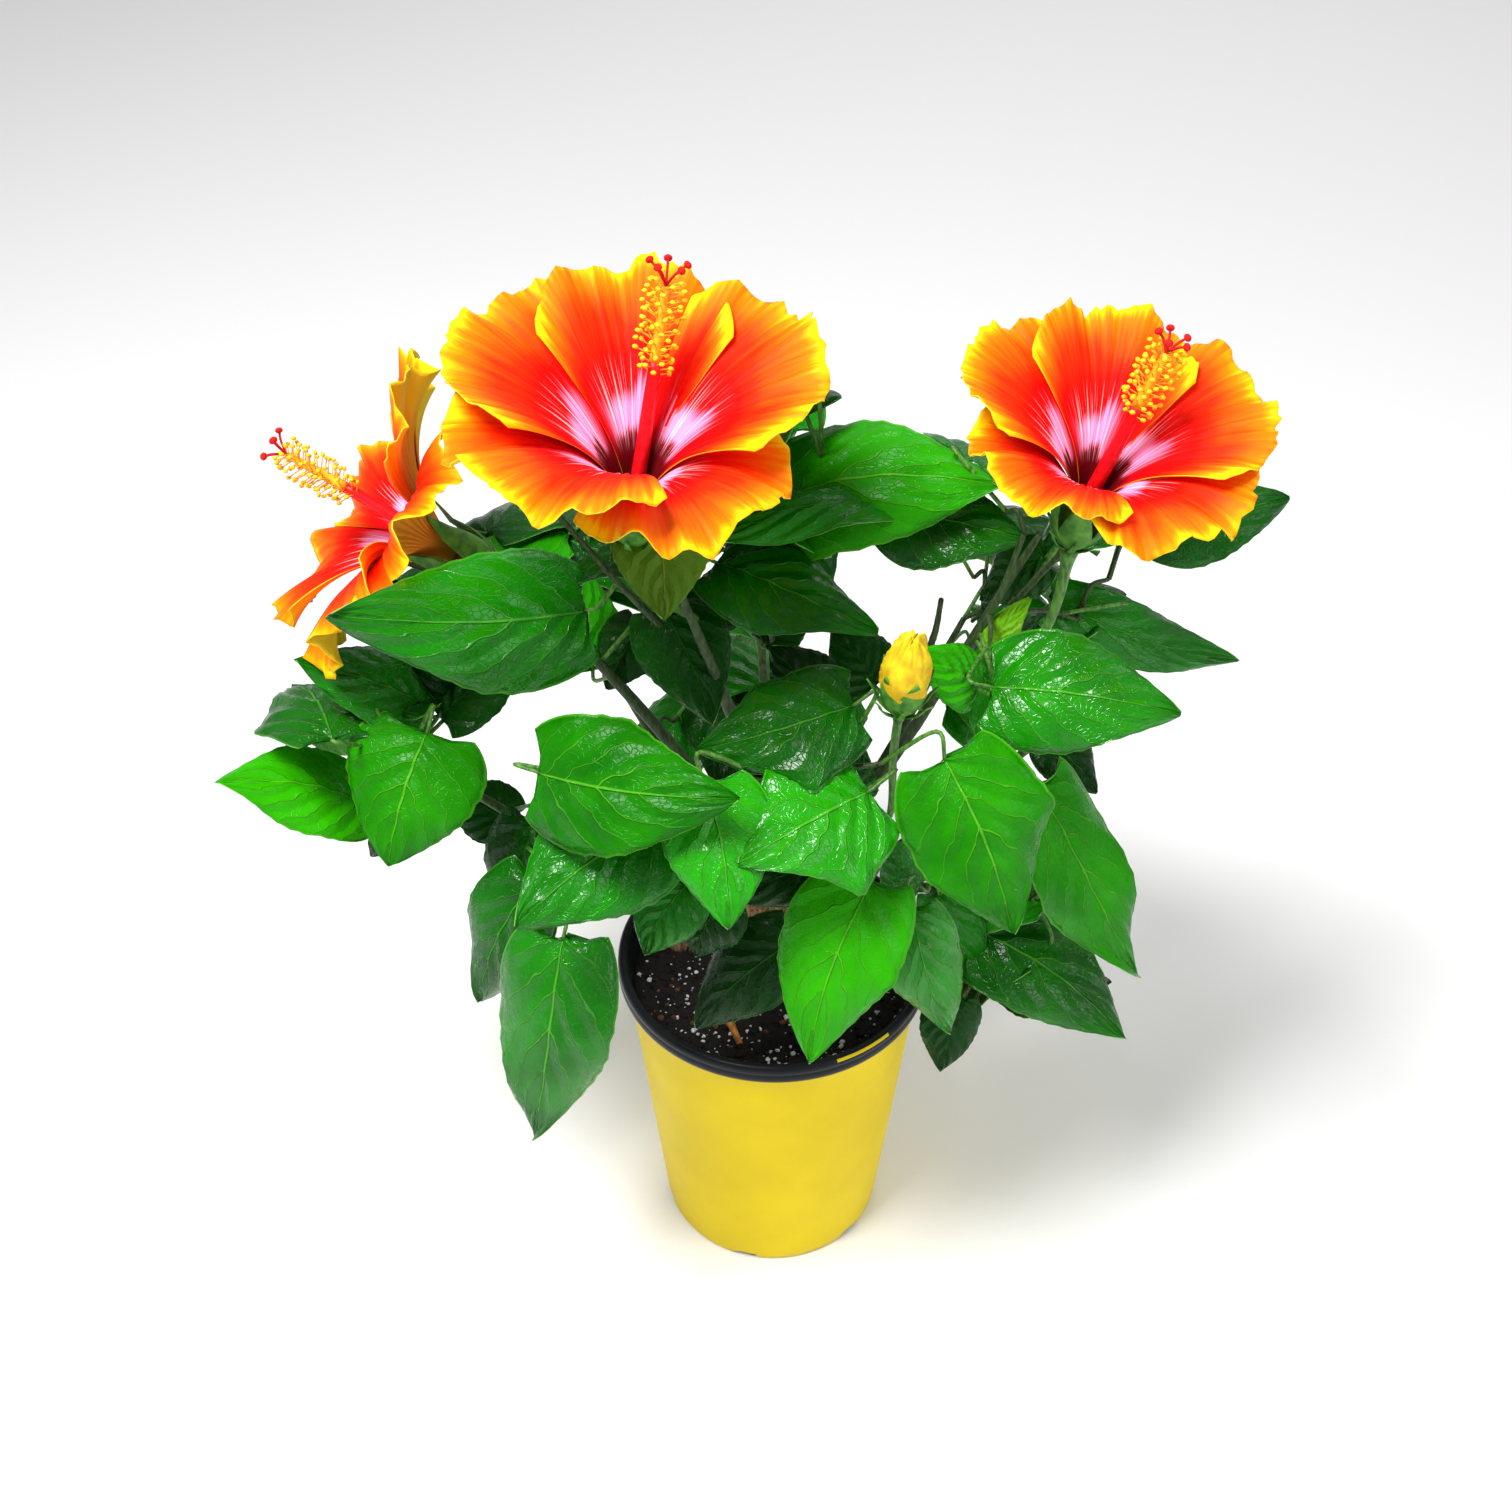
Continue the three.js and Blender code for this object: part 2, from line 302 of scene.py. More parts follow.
# %% The trunk and boughs
TRUNK_RADIUS = 9
ROOT_FLARE = 8
BOUGH_RADII = (4.6, 1.5)
OLD_RINGS = 8  # of a bough's 29 rings, those in old bark
FIRST_TWIG = 6  # the ring from which twigs and leaf stalks may grow
BOUGHS = {
    "bough_left": (205, (-168, -18, 332), -16),
    "bough_left_high": (219, (-120, 4, 425), 12),
    "bough_front_bloom": (231, (-46, -36, 452), 10),
    "bough_middle": (231, (8, 34, 428), 6),
    "bough_right_high": (226, (112, 0, 440), -14),
    "bough_right": (214, (128, -38, 372), -14),
    "bough_right_low": (196, (128, -8, 232), 18),
    "bough_back": (222, (-10, 110, 360), -12),
    "bough_back_right": (208, (96, 92, 330), -12),
    "bough_back_left": (212, (-96, 88, 330), -12),
    "bough_front": (216, (10, -72, 330), -10),
}
trunk_line = bend(mm(0, 0, 163), mm(1, 4.5, 200), mm(7, 6, 232), count=10)
rise = np.linspace(0, 1, len(trunk_line))
trunk_radii = (TRUNK_RADIUS * (1 - 0.18 * rise) + ROOT_FLARE * np.exp(-9 * rise)) * MM
wood = Heap()
wood.add(tube(trunk_line, trunk_radii, sides=20, rough=0.03))
limb_places = []
for name, (height, end, sag) in BOUGHS.items():
    start = trunk_line[np.argmin(abs(trunk_line[:, 2] - height * MM))]
    middle = start + 0.45 * (mm(*end) - start) + mm(0, 0, sag)
    line = bend(start, middle, mm(*end), count=14)
    radii = np.linspace(*BOUGH_RADII, len(line)) * MM
    wood.add(tube(line[: OLD_RINGS + 1], radii[: OLD_RINGS + 1], sides=10, rough=0.035), 0)
    wood.add(tube(line[OLD_RINGS:], radii[OLD_RINGS:], sides=9, rough=0.03), 1)
    limb_places.extend(line[FIRST_TWIG:])
trunk_piece = wood.piece("trunk_and_boughs", [old_bark, young_bark], "bark")
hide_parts("trunk", *BOUGHS)

# %% [markdown]
# ## The shape of a leaf
# A hibiscus leaf is a broad oval with a heart-shaped foot, a drawn-out tip and a toothed margin.
# Strong veins run out from the midrib, sunk in the upper side, and the blade swells up between them.
# A blade could be cut out of a flat card, but it wouldn't bend well. Each blade here is a grid: its
# rows run from foot to tip and its columns from margin to margin, and they also tell the material
# where the veins lie. The grid is bent as one sheet and then given a thickness of half a millimetre,
# so it has a back.

# %% A thin closed sheet from a grid of points
ROWS = 27
COLUMNS = 15
VEINS = 5.5  # side veins along a blade
VEIN_LEAN = 0.42  # how far up the blade a vein climbs on its way to the margin


def halves(quads):
    """Each four-sided face as two triangles, split the same way on the top and the back."""
    return np.vstack([quads[:, [0, 1, 2]], quads[:, [0, 2, 3]]])


def sheet_faces(rows, columns):
    """Faces of a thin sheet: the top grid, the back grid, then the margin that closes them."""
    grid = np.arange(rows * columns).reshape(rows, columns)
    quads = np.stack([grid[:-1, :-1], grid[:-1, 1:], grid[1:, 1:], grid[1:, :-1]], -1)
    top = halves(quads.reshape(-1, 4))
    back = top[:, ::-1] + grid.size
    rim = np.concatenate([grid[0, :], grid[1:, -1], grid[-1, -2::-1], grid[-2:0:-1, 0]])
    following = np.roll(rim, -1)
    edge = halves(np.stack([following, rim, rim + grid.size, following + grid.size], -1))
    slots = np.repeat([0, 1, 1], [len(top), len(back), len(edge)])
    return np.vstack([top, back, edge]), slots


def thicken(grid, thickness):
    """Top and back points of a sheet, moved apart along the grid's own normals."""
    along = np.gradient(grid, axis=0)
    across = np.gradient(grid, axis=1)
    normal = np.cross(along, across)
    normal /= np.linalg.norm(normal, axis=2, keepdims=True) + 1e-12
    top = grid + normal * thickness / 2
    back = grid - normal * thickness / 2
    return np.vstack([top.reshape(-1, 3), back.reshape(-1, 3)])


print("the sheet of a leaf has", len(sheet_faces(ROWS, COLUMNS)[0]), "faces")

# %% [markdown]
# The blade's half breadth follows one sine arch, widest a third of the way up. A few leaves have a
# shoulder, a coarse lobe on one side. The blade arches along its length, its margins turn down and
# wave, the skin between the veins is puckered, and the midrib lies in a groove.

# %% One leaf
TEETH = 11
HEART = 0.15  # how deep the foot is notched, in leaf lengths
PUCKER = 1.7 * MM
GROOVE_DEPTH = 0.8 * MM
GROOVE_WIDTH = 2.2 * MM


def leaf_grid(foot, tip, breadth, facing, lobe=0.0, arch=0.10, wave=1.0, cup=0.22):
    """The grid of a leaf blade from its foot to its tip, with its upper side towards facing."""
    length = np.linalg.norm(tip - foot)
    ahead = (tip - foot) / length
    side = unit(np.cross(facing, ahead))
    above = np.cross(ahead, side)
    row, s = np.meshgrid(np.linspace(0, 1, ROWS), np.linspace(-1, 1, COLUMNS), indexing="ij")
    t = row**1.3
    half = breadth / 2 * np.sin(np.pi * t**0.60) ** 0.75 * (1 - 0.32 * t**3) + 0.0005
    shoulder = lobe * np.exp(-(((t - 0.42) / 0.10) ** 2)) * (s > 0)
    shoulder += 0.5 * lobe * np.exp(-(((t - 0.55) / 0.09) ** 2)) * (s < 0)
    teeth = 0.06 * abs(s) ** 6 * ((t * TEETH) % 1 - 0.5)
    teeth *= smooth(t, 0.2, 0.35) * smooth(1 - t, 0, 0.1)
    out = s * half * (1 + shoulder + teeth)
    up_blade = length * (t - HEART * abs(s) ** 1.6 * (1 - t) ** 5 * smooth(t, 0, 0.07))
    lean = (row - VEIN_LEAN * abs(s)) * VEINS
    swell = 0.5 - 0.5 * np.cos(2 * np.pi * lean)
    wave_start, sway_start, _ = chance.uniform(0, 2 * np.pi, 3)
    lift = arch * length * np.sin(np.pi * t**0.8) * (1 - 0.25 * s**2)
    lift += -cup * half * (abs(s) ** 1.8) + 0.10 * half * abs(s)
    waves = np.sin(2 * np.pi * 1.6 * t + wave_start + 1.7 * np.sign(s))
    lift += wave * 0.034 * length * abs(s) ** 2.2 * waves
    lift += PUCKER * swell * (1 - s**2) ** 0.5 * smooth(1 - t, 0, 0.15)
    lift -= GROOVE_DEPTH * np.exp(-((s * half / GROOVE_WIDTH) ** 2))
    out += 0.04 * length * np.sin(np.pi * t) * np.sin(sway_start)
    return foot + up_blade[..., None] * ahead + out[..., None] * side + lift[..., None] * above


# %% [markdown]
# ## Placing the leaves
# The eye knows this plant by the leaves at its front and sides, so they aren't left to chance. They
# are placed one by one, as in a botanical drawing: each has its foot, its tip and its breadth in
# millimetres, a shade, and sometimes a lobe or a turn about its midrib. A leaf's shade is partly its
# own green and partly painted light and shade: the shades were matched to how light or dark each
# leaf looks, so the top leaf, which faces away from the lamps, is given the bright shade. They are
# listed by the part of the plant that bears them.

# %% The leaves that are drawn one by one
DRAWN = {
    "left, high": [
        ((-82, -20, 414), (-176, -75, 451), 60, "mid", {"turn": -10, "cup": 0.4}),
        ((-160, 0, 345), (-210, -20, 388), 40, "mid", {}),
        ((-155, 0, 340), (-118, 28, 358), 34, "deep", {}),
        ((-150, 10, 350), (-170, 5, 415), 26, "deep", {}),
    ],
    "left, low": [
        ((-155, -30, 355), (-175, -60, 302), 66, "bright", {}),
        ((-195, -12, 296), (-250, -40, 335), 48, "bright", {"turn": 15}),
        ((-175, 0, 290), (-200, 0, 252), 30, "mid", {}),
        ((-130, 10, 265), (-162, 30, 272), 32, "deep", {}),
    ],
    "front, left": [
        ((-98, -88, 381), (-16, -121, 396), 56, "bright", {"lobe": 0.08, "turn": 12}),
        ((-50, -85, 352), (-108, -128, 332), 58, "mid", {"turn": -12}),
        ((-30, -95, 382), (-20, -135, 338), 48, "fresh", {"lobe": 0.06}),
        ((-40, -70, 300), (-60, -82, 268), 34, "mid", {}),
        ((-25, -60, 282), (-38, -62, 246), 34, "deep", {}),
    ],
    "skirt, left": [
        ((-95, -85, 282), (-115, -108, 170), 58, "fresh", {"turn": 8}),
        ((-110, -60, 292), (-142, -60, 212), 44, "mid", {}),
        ((-112, -30, 300), (-128, -36, 235), 44, "deep", {}),
    ],
    "front, middle": [
        ((38, -85, 368), (-16, -122, 362), 58, "fresh", {"lobe": 0.30}),
        ((32, -60, 394), (-34, -80, 386), 46, "mid", {"lobe": 0.34}),
        ((20, -20, 365), (-2, -10, 388), 32, "deep", {}),
        ((-5, 15, 370), (18, 28, 382), 22, "deep", {}),
        ((30, -50, 338), (36, -52, 366), 26, "mid", {}),
        ((30, -70, 318), (-22, -90, 310), 34, "deep", {}),
    ],
    "skirt, front": [
        ((40, -95, 326), (14, -130, 250), 54, "bright", {"lobe": 0.06}),
        ((60, -80, 296), (82, -88, 222), 36, "fresh", {"turn": 10}),
        ((10, -60, 256), (-38, -70, 204), 42, "deep", {}),
        ((65, -60, 290), (44, -70, 326), 28, "mid", {}),
        ((90, -42, 196), (84, -58, 158), 30, "deep", {}),
    ],
    "right, low": [
        ((68, -85, 386), (100, -112, 312), 60, "bright", {"lobe": 0.18}),
        ((118, -30, 325), (176, -50, 220), 50, "bright", {"turn": 6, "wave": 1.6}),
        ((98, -10, 212), (176, -50, 174), 56, "fresh", {}),
        ((80, -20, 246), (100, -22, 184), 30, "mid", {}),
        ((125, 0, 326), (152, -10, 302), 28, "deep", {}),
    ],
    "right, high": [
        ((90, -50, 396), (166, -70, 398), 52, "fresh", {"turn": 10}),
        ((125, 30, 385), (222, 40, 342), 31, "mid", {"turn": 25}),
        ((85, -40, 388), (58, -50, 415), 28, "bright", {}),
        ((95, -10, 385), (111, 0, 407), 14, "young", {}),
        ((170, 50, 410), (236, 60, 421), 42, "mid", {}),
        ((120, 20, 415), (94, 30, 384), 28, "mid", {}),
        ((45, 0, 358), (25, 10, 382), 34, "deep", {}),
    ],
    "top": [
        # painted light: this leaf faces away from the lamps and takes the bright shade in place of
        # light
        ((-5, 25, 434), (96, 0, 464), 64, "bright", {"arch": 0.16, "turn": -6}),
        ((48, 20, 440), (106, 0, 438), 46, "fresh", {}),
        ((52, 8, 452), (-36, -20, 446), 30, "mid", {"turn": 30}),
        ((-26, 0, 425), (42, -40, 418), 44, "mid", {}),
        ((-50, -28, 466), (-46, -62, 440), 40, "olive", {}),
        ((-50, 0, 402), (-28, -32, 362), 42, "deep", {}),
        ((-15, 20, 400), (-42, 10, 378), 30, "deep", {}),
        ((-85, 20, 352), (-90, 40, 398), 34, "bright", {}),
        ((-60, 20, 378), (-78, 10, 348), 30, "deep", {}),
    ],
}
FRONT_AND_UP = unit([0.0, -0.55, 0.83])  # the way that the drawn leaves face, before their turn


def turned(vector, axis, degrees):
    """A vector turned about an axis."""
    c, s = math.cos(math.radians(degrees)), math.sin(math.radians(degrees))
    return vector * c + np.cross(axis, vector) * s + axis * np.dot(axis, vector) * (1 - c)


leaves = []
for drawn in DRAWN.values():
    for foot, tip, breadth, shade, more in drawn:
        foot, tip = mm(*foot), mm(*tip)
        shape = dict(more)
        turn = shape.pop("turn", 0) + chance.normal(0, 6)
        facing = turned(FRONT_AND_UP, unit(tip - foot), turn)
        leaf = {"foot": foot, "tip": tip, "breadth": breadth * MM, "facing": facing, "shade": shade}
        leaves.append({**leaf, **shape})
print("leaves drawn one by one:", len(leaves))

# %% [markdown]
# The rest of the crown is grown by rule. Blender's particles or geometry nodes could scatter copies
# of one leaf, but a loop can bend each leaf anew and ask more of its place. Each mass of foliage in
# the frame is an egg shape. Leaves are spread over it by the golden angle, as a shoot spreads them:
# they face up and outwards, and their tips hang out and down. A place is left empty where another
# leaf, a bloom or the pot is, and along a few sight lines, seen from the front and above, where the
# crown is open and light comes through. The front is left to the drawn leaves: nothing is grown near
# it, before a drawn leaf, beyond the crown's right edge, over its top, or above its crest on the
# right.

# %% The leaves that fill the crown
MASSES = {
    "foliage_left_high": ((-128, -14, 408), (70, 52, 37)),
    "foliage_left_tip": ((-184, -28, 318), (72, 50, 41)),
    "foliage_front_left": ((-70, -92, 360), (60, 50, 44)),
    "foliage_skirt_left": ((-98, -98, 247), (50, 50, 68)),
    "foliage_front": ((20, -88, 362), (56, 48, 46)),
    "foliage_skirt_front": ((42, -98, 268), (66, 50, 54)),
    "foliage_right_front": ((104, -84, 306), (56, 50, 58)),
    "foliage_right_low": ((152, -18, 200), (56, 50, 62)),
    "foliage_right": ((126, -40, 390), (66, 50, 36)),
    "foliage_right_tip": ((172, 46, 340), (62, 48, 42)),
    "foliage_top": ((40, 22, 458), (78, 52, 36)),
    "foliage_top_right": ((190, 44, 424), (54, 46, 34)),
    "foliage_heart": ((-24, 6, 398), (50, 46, 48)),
    "foliage_back_left": ((-112, 96, 322), (74, 62, 66)),
    "foliage_back_right": ((84, 116, 312), (76, 60, 70)),
    "foliage_back": ((-16, 122, 404), (66, 52, 52)),
    "foliage_back_low": ((-14, 122, 236), (74, 50, 46)),
}
BLOOMS = {
    "bloom_front": ((-57, -40, 481), (0.05, -0.17, 0.98), 73, (17, 15, 99)),
    "bloom_right": ((123, -30, 473), (0.1, -0.2, 0.97), 62, (25, -7, 82)),
    "bloom_left": ((-142, 20, 416), (-0.84, 0.1, 0.53), 72, (-80, 9, 54)),
}
SIGHT = unit([0.0, 0.766, -0.643])  # from the front and above, 40 degrees down
CREST_UP = unit([0.0, 0.643, 0.766])  # upwards, as seen along SIGHT
SIGHT_LINES = [
    ((68, -20, 425), 34), ((-100, -15, 385), 20), ((-122, -15, 352), 24), ((40, -20, 398), 16)
]
LEAF_HALF = 26 * MM  # a leaf reaches about this far from its middle
BLOOM_ROOM = 12 * MM
CREST = 368 * MM
POT_ROOM = {"top": 205 * MM, "radius": 100 * MM}
FRONT, RIGHT_EDGE, TOP_EDGE = mm(-30, 150, 466)
BEFORE, BESIDE = mm(4, 30)


def is_free(place):
    """True where a leaf may grow: clear of the front, blooms, pot, edges and sight lines."""
    for throat, facing, reach, _ in BLOOMS.values():
        away = place - mm(*throat)
        in_reach = np.linalg.norm(away) < reach * MM + BLOOM_ROOM
        if in_reach and np.dot(away, unit(facing)) > -BLOOM_ROOM:
            return False
    for through, width in SIGHT_LINES:
        away = place - mm(*through)
        if np.linalg.norm(away - np.dot(away, SIGHT) * SIGHT) < width * MM + LEAF_HALF:
            return False
    if place[0] > 0 and np.dot(place, CREST_UP) > CREST:
        return False
    if place[1] < FRONT or place[0] > RIGHT_EDGE or place[2] > TOP_EDGE:
        return False
    over_pot = np.hypot(place[0], place[1]) < POT_ROOM["radius"]
    return not (over_pot and place[2] < POT_ROOM["top"])


GOLDEN_ANGLE = np.pi * (3 - 5**0.5)


def golden(count):
    """Directions spread evenly over a ball."""
    k = np.arange(count) + 0.5
    z = 1 - 2 * k / count
    turn = k * GOLDEN_ANGLE
    flat = np.sqrt(1 - z * z)
    return np.stack([flat * np.cos(turn), flat * np.sin(turn), z], -1)


drawn_places = np.array(
    [leaf["foot"] * (1 - t) + leaf["tip"] * t for leaf in leaves for t in (0.1, 0.5, 0.9)]
)


def hides_drawn(place):
    """True where a leaf would hang before one that is drawn."""
    away = place - drawn_places
    depth = away @ SIGHT
    beside = np.linalg.norm(away - depth[:, None] * SIGHT, axis=1)
    return bool(np.any((depth < BEFORE) & (beside < BESIDE)))


# %% Grow the leaves over each mass, in an outer and an inner layer
LAYERS = ((26, 0.86, 36), (7, 0.4, 30))  # leaves, share of the half sizes, room round each leaf
ODDS = {"mid": 0.4, "fresh": 0.25, "deep": 0.2, "bright": 0.15}  # shades of the outer layer
LEAF_LENGTHS = (62, 88)
LEAF_BREADTHS = (0.58, 0.72)  # in leaf lengths
centres = [(leaf["foot"] + leaf["tip"]) / 2 for leaf in leaves]
for middle, half in MASSES.values():
    middle, half = mm(*middle), mm(*half)
    for layer, share, room in LAYERS:
        for way in golden(layer):
            outward = unit(way / half)
            place = middle + way * half * share + chance.normal(0, 3, 3) * MM
            near = min(np.linalg.norm(place - c) for c in centres)
            if near < room * MM or not is_free(place) or hides_drawn(place):
                continue
            facing = unit(0.6 * outward + 0.75 * UP + chance.normal(0, 0.16, 3))
            hang = unit(outward * [1, 1, 0.2] - 0.5 * UP + chance.normal(0, 0.25, 3))
            hang = unit(hang - np.dot(hang, facing) * facing)
            length = chance.uniform(*LEAF_LENGTHS) * MM
            foot = place - 0.5 * length * hang
            tip = place + 0.5 * length * hang
            shade = chance.choice(list(ODDS), p=list(ODDS.values()))
            if share < 0.5:
                shade = "deep"
            leaf = {"foot": foot, "tip": tip, "breadth": length * chance.uniform(*LEAF_BREADTHS)}
            leaf.update({"facing": facing, "shade": str(shade)})
            leaf["lobe"] = float(chance.choice([0, 0, 0.1, 0.25]))
            leaves.append(leaf)
            centres.append(place)

print("leaves grown by rule:", len(centres) - len(drawn_places) // 3)

# %% Keep every leaf inside the frame's box
low, high = np.array(cad_low) + 2 * MM, np.array(cad_high) - 2 * MM
for leaf in leaves:
    for end in ("foot", "tip"):
        leaf[end] = np.clip(leaf[end], low, high)
print("leaves in all:", len(leaves))

# %% [markdown]
# ## Twigs and leaf stalks
# Now the wood grows to its leaves. Twigs could be drawn first and leaves set along them, but then no
# leaf could keep the place chosen for it. The leaf nearest to the wood is joined first. If its foot
# is more than a leaf stalk away, a green twig grows towards it and becomes wood that later leaves
# can join. Every leaf then hangs by its own thin stalk, which comes into the blade along its midrib.

# %% Grow twigs and stalks
STALK_REACH = 38 * MM
TWIG_RADII = (1.4, 1.05)
twigs = Heap()
stalks = Heap()
shoots = [
    (mm(-40, -4, 380), mm(-68, -14, 425), mm(-96, -14, 466)),
    (mm(84, 0, 372), mm(96, -6, 410), mm(104, -8, 446)),
    (mm(84, 0, 372), mm(104, 4, 400), mm(124, -24, 456)),
    (mm(2, 20, 330), mm(-2, 14, 380), mm(-4, 10, 425)),
    (mm(70, 10, 372), mm(72, 8, 385), mm(73, 6, 402)),
]
for route in shoots:
    line = bend(*route, count=8)
    twigs.add(tube(line, np.linspace(1.8, 1.2, len(line)) * MM, sides=8, rough=0.03))
    limb_places.extend(line)
waiting = list(range(len(leaves)))
places = np.array(limb_places)
gaps = np.array([np.linalg.norm(places - leaf["foot"], axis=1).min() for leaf in leaves])
while waiting:
    leaf = leaves[waiting.pop(int(np.argmin(gaps[waiting])))]
    away = np.linalg.norm(places - leaf["foot"], axis=1)
    root = places[np.argmin(away)]
    gap = away.min()
    if gap > STALK_REACH:
        stop = root + (leaf["foot"] - root) * (1 - 0.75 * STALK_REACH / gap)
        bow = (root + stop) / 2 + chance.normal(0, 3, 3) * MM + mm(0, 0, 5)
        line = bend(root, bow, stop, count=7)
        twigs.add(tube(line, np.linspace(*TWIG_RADII, len(line)) * MM, sides=7, rough=0.03))
        places = np.vstack([places, line[3:]])
        for other in waiting:
            new = np.linalg.norm(line - leaves[other]["foot"], axis=1).min()
            gaps[other] = min(gaps[other], new)
        root = stop
        gap = np.linalg.norm(leaf["foot"] - root)
    ahead = unit(leaf["tip"] - leaf["foot"])
    knee = leaf["foot"] - ahead * gap * 0.35 + UP * gap * 0.12
    line = bend(root, knee, leaf["foot"] + ahead * 1.5 * MM, count=6)
    stalks.add(tube(line, np.linspace(1.15, 0.85, len(line)) * MM, sides=6))
twigs.piece("green_twigs", [young_bark], "bark")
stalks.piece("leaf_stalks", [leaf_stalk], "stalk")

# %% [markdown]
# ## Leaf skin
# A hibiscus leaf has a waxy skin, so it is glossy above and duller beneath. The veins are pale
# lines, sunk in the upper side. They could be painted in an image, but lines that are worked out
# stay sharp at any size. Here they are drawn from the blade's own map: one line for the
# midrib, side veins that leave it at a slant, about 14 mm apart and 0.8 mm wide, and a pale line
# round the margin. A fine net of cells, about 2 mm across, gives the skin its grain. Leaves of one
# shade still differ: a cloudy noise and the leaf's own Tone mix the two greens.

# %% Where a point lies on its own leaf or petal
def sheet_places(tree):
    """The Blade map, the places across and along it, and the distance from its midrib."""
    blade = add_node(tree, "UVMap", uv_map="Blade").outputs[0]
    part = add_node(tree, "SeparateXYZ", {0: blade})
    across, along = part.outputs[:2]
    centred = add_node(tree, "Math", {0: across, 1: 2.0, 2: -1.0}, operation="MULTIPLY_ADD")
    side = add_node(tree, "Math", {0: centred}, operation="ABSOLUTE")
    return blade, across, along, side


# %% Materials of the leaves
def leaf_material(name, deep, fresh, vein, roughness, gloss):
    """Leaf skin: two greens, pale slanting veins, and a relief that follows them."""
    material, tree, shader = start_material(name, roughness, 1.42)
    shader.inputs["Specular IOR Level"].default_value = gloss
    blade, _, along, side = sheet_places(tree)
    slant = add_node(tree, "Math", {0: side, 1: -VEIN_LEAN, 2: along}, operation="MULTIPLY_ADD")
    wander = add_node(tree, "TexNoise", {"Vector": blade, "Scale": 4.0, "Detail": 2.0})
    phase = add_node(tree, "Math", {0: slant, 1: VEINS, 2: wander}, operation="MULTIPLY_ADD")
    away = add_node(tree, "Math", {0: phase, 1: 0.5}, operation="PINGPONG")
    line = add_node(tree, "MapRange", {0: away, 1: 0.008, 2: 0.05, 3: 1.0, 4: 0.0}, **EASED)
    fading = add_node(tree, "MapRange", {0: side, 1: 0.1, 2: 1.0, 3: 0.9, 4: 0.15})
    side_veins = add_node(tree, "Math", {0: line, 1: fading}, operation="MULTIPLY")
    midrib = add_node(tree, "MapRange", {0: side, 1: 0.01, 2: 0.035, 3: 1.0, 4: 0.0}, **EASED)
    margin = add_node(tree, "MapRange", {0: side, 1: 0.955, 2: 0.99, 3: 0.0, 4: 0.9})
    inner = add_node(tree, "Math", {0: side_veins, 1: midrib}, operation="MAXIMUM")
    veins = add_node(tree, "Math", {0: inner, 1: margin}, operation="MAXIMUM")
    stretched = add_node(tree, "Mapping", {"Vector": blade, "Scale": (1.0, 1.6, 1.0)})
    net = add_node(
        tree, "TexVoronoi", {"Vector": stretched, "Scale": 24.0}, feature="DISTANCE_TO_EDGE"
    )
    cells = add_node(tree, "MapRange", {0: net.outputs[0], 1: 0.0, 2: 0.10, 3: 0.0, 4: 1.0})
    where = add_node(tree, "TexCoord")
    cloud = add_node(
        tree, "TexNoise", {"Vector": where.outputs["Object"], "Scale": 38.0, "Detail": 3.0}
    )
    tone = add_node(tree, "UVMap", uv_map="Tone")
    dealt = add_node(tree, "SeparateXYZ", {0: tone})
    shade = add_node(tree, "Math", {0: cloud, 1: dealt}, operation="ADD")
    mixed = add_node(tree, "MapRange", {0: shade, 1: 0.45, 2: 1.45, 3: 0.0, 4: 1.0})
    green = add_node(tree, "Mix", {0: mixed, 6: srgb(deep), 7: srgb(fresh)}, data_type="RGBA")
    share = add_node(tree, "Math", {0: veins, 1: 0.5}, operation="MULTIPLY")
    colour = add_node(tree, "Mix", {0: share, 6: green.outputs[2], 7: srgb(vein)}, data_type="RGBA")
    grain = add_node(tree, "Math", {0: cells, 1: 0.10}, operation="MULTIPLY")
    domes = add_node(tree, "Math", {0: away, 1: 1.5, 2: grain}, operation="MULTIPLY_ADD")
    height = add_node(tree, "Math", {0: domes, 1: veins}, operation="SUBTRACT")
    finish_skin(tree, shader, colour.outputs[2], height, 0.8, 0.0011)
    return material


# Each shade: its deep and its fresh green, its veins, and the roughness and gloss of its wax. The
# shades from bright to deep are partly the leaves' own greens and partly painted light and shade.
LEAF_SHADES_WITH_PAINTED_LIGHT = {
    "young": ("#3a9002", "#74b808", "#a8d860", 0.36, 0.25),
    "bright": ("#0c6400", "#2ea800", "#66c42a", 0.27, 0.14),
    "fresh": ("#065200", "#1e9e00", "#5cbc2e", 0.21, 0.42),
    "mid": ("#023e00", "#107c00", "#4aa428", 0.21, 0.34),
    "deep": ("#022e00", "#064c00", "#2a781a", 0.26, 0.22),
    "olive": ("#2a4a06", "#4f7a10", "#8aa850", 0.50, 0.25),
}
BACK = ("#2c7a16", "#56a030", "#9ad078", 0.6, 0.22)
leaf_backs = leaf_material("leaf underside, dull and pale", *BACK)
leaf_tops = {}
for shade, look in LEAF_SHADES_WITH_PAINTED_LIGHT.items():
    leaf_tops[shade] = leaf_material(f"leaf upper side, waxy, {shade}", *look)
print("leaf shades:", list(leaf_tops))

# %% [markdown]
# Each leaf could be an object of its own, but a hundred objects are slow to handle. The leaves of
# one shade are joined into pieces that each reach over the whole crown. Each blade, top and back,
# has its own cell in the OFBake map.

# %% Join the leaves by shade
def atlas(count, number, aspect=1.4):
    """The corner and size of one cell, of count cells that share a square map."""
    wide = max(1, math.ceil(math.sqrt(count * aspect)))
    tall = math.ceil(count / wide)
    size = np.array([1 / wide, 1 / tall])
    return np.array([number % wide, number // wide]) * size, size


def blade_maps(rows, columns, count, number, tone):
    """Blade, Tone and OFBake maps of the number-th sheet in a piece of count sheets."""
    t, s = np.meshgrid(np.linspace(0, 1, rows), np.linspace(0, 1, columns), indexing="ij")
    blade = np.stack([s.ravel(), t.ravel()], -1)
    cells = []
    for layer in (0, 1):
        corner, size = atlas(2 * count, 2 * number + layer)
        cells.append(corner + size * (0.03 + 0.94 * blade))
    both = np.vstack([blade, blade])
    return both, np.broadcast_to(tone, both.shape), np.vstack(cells)


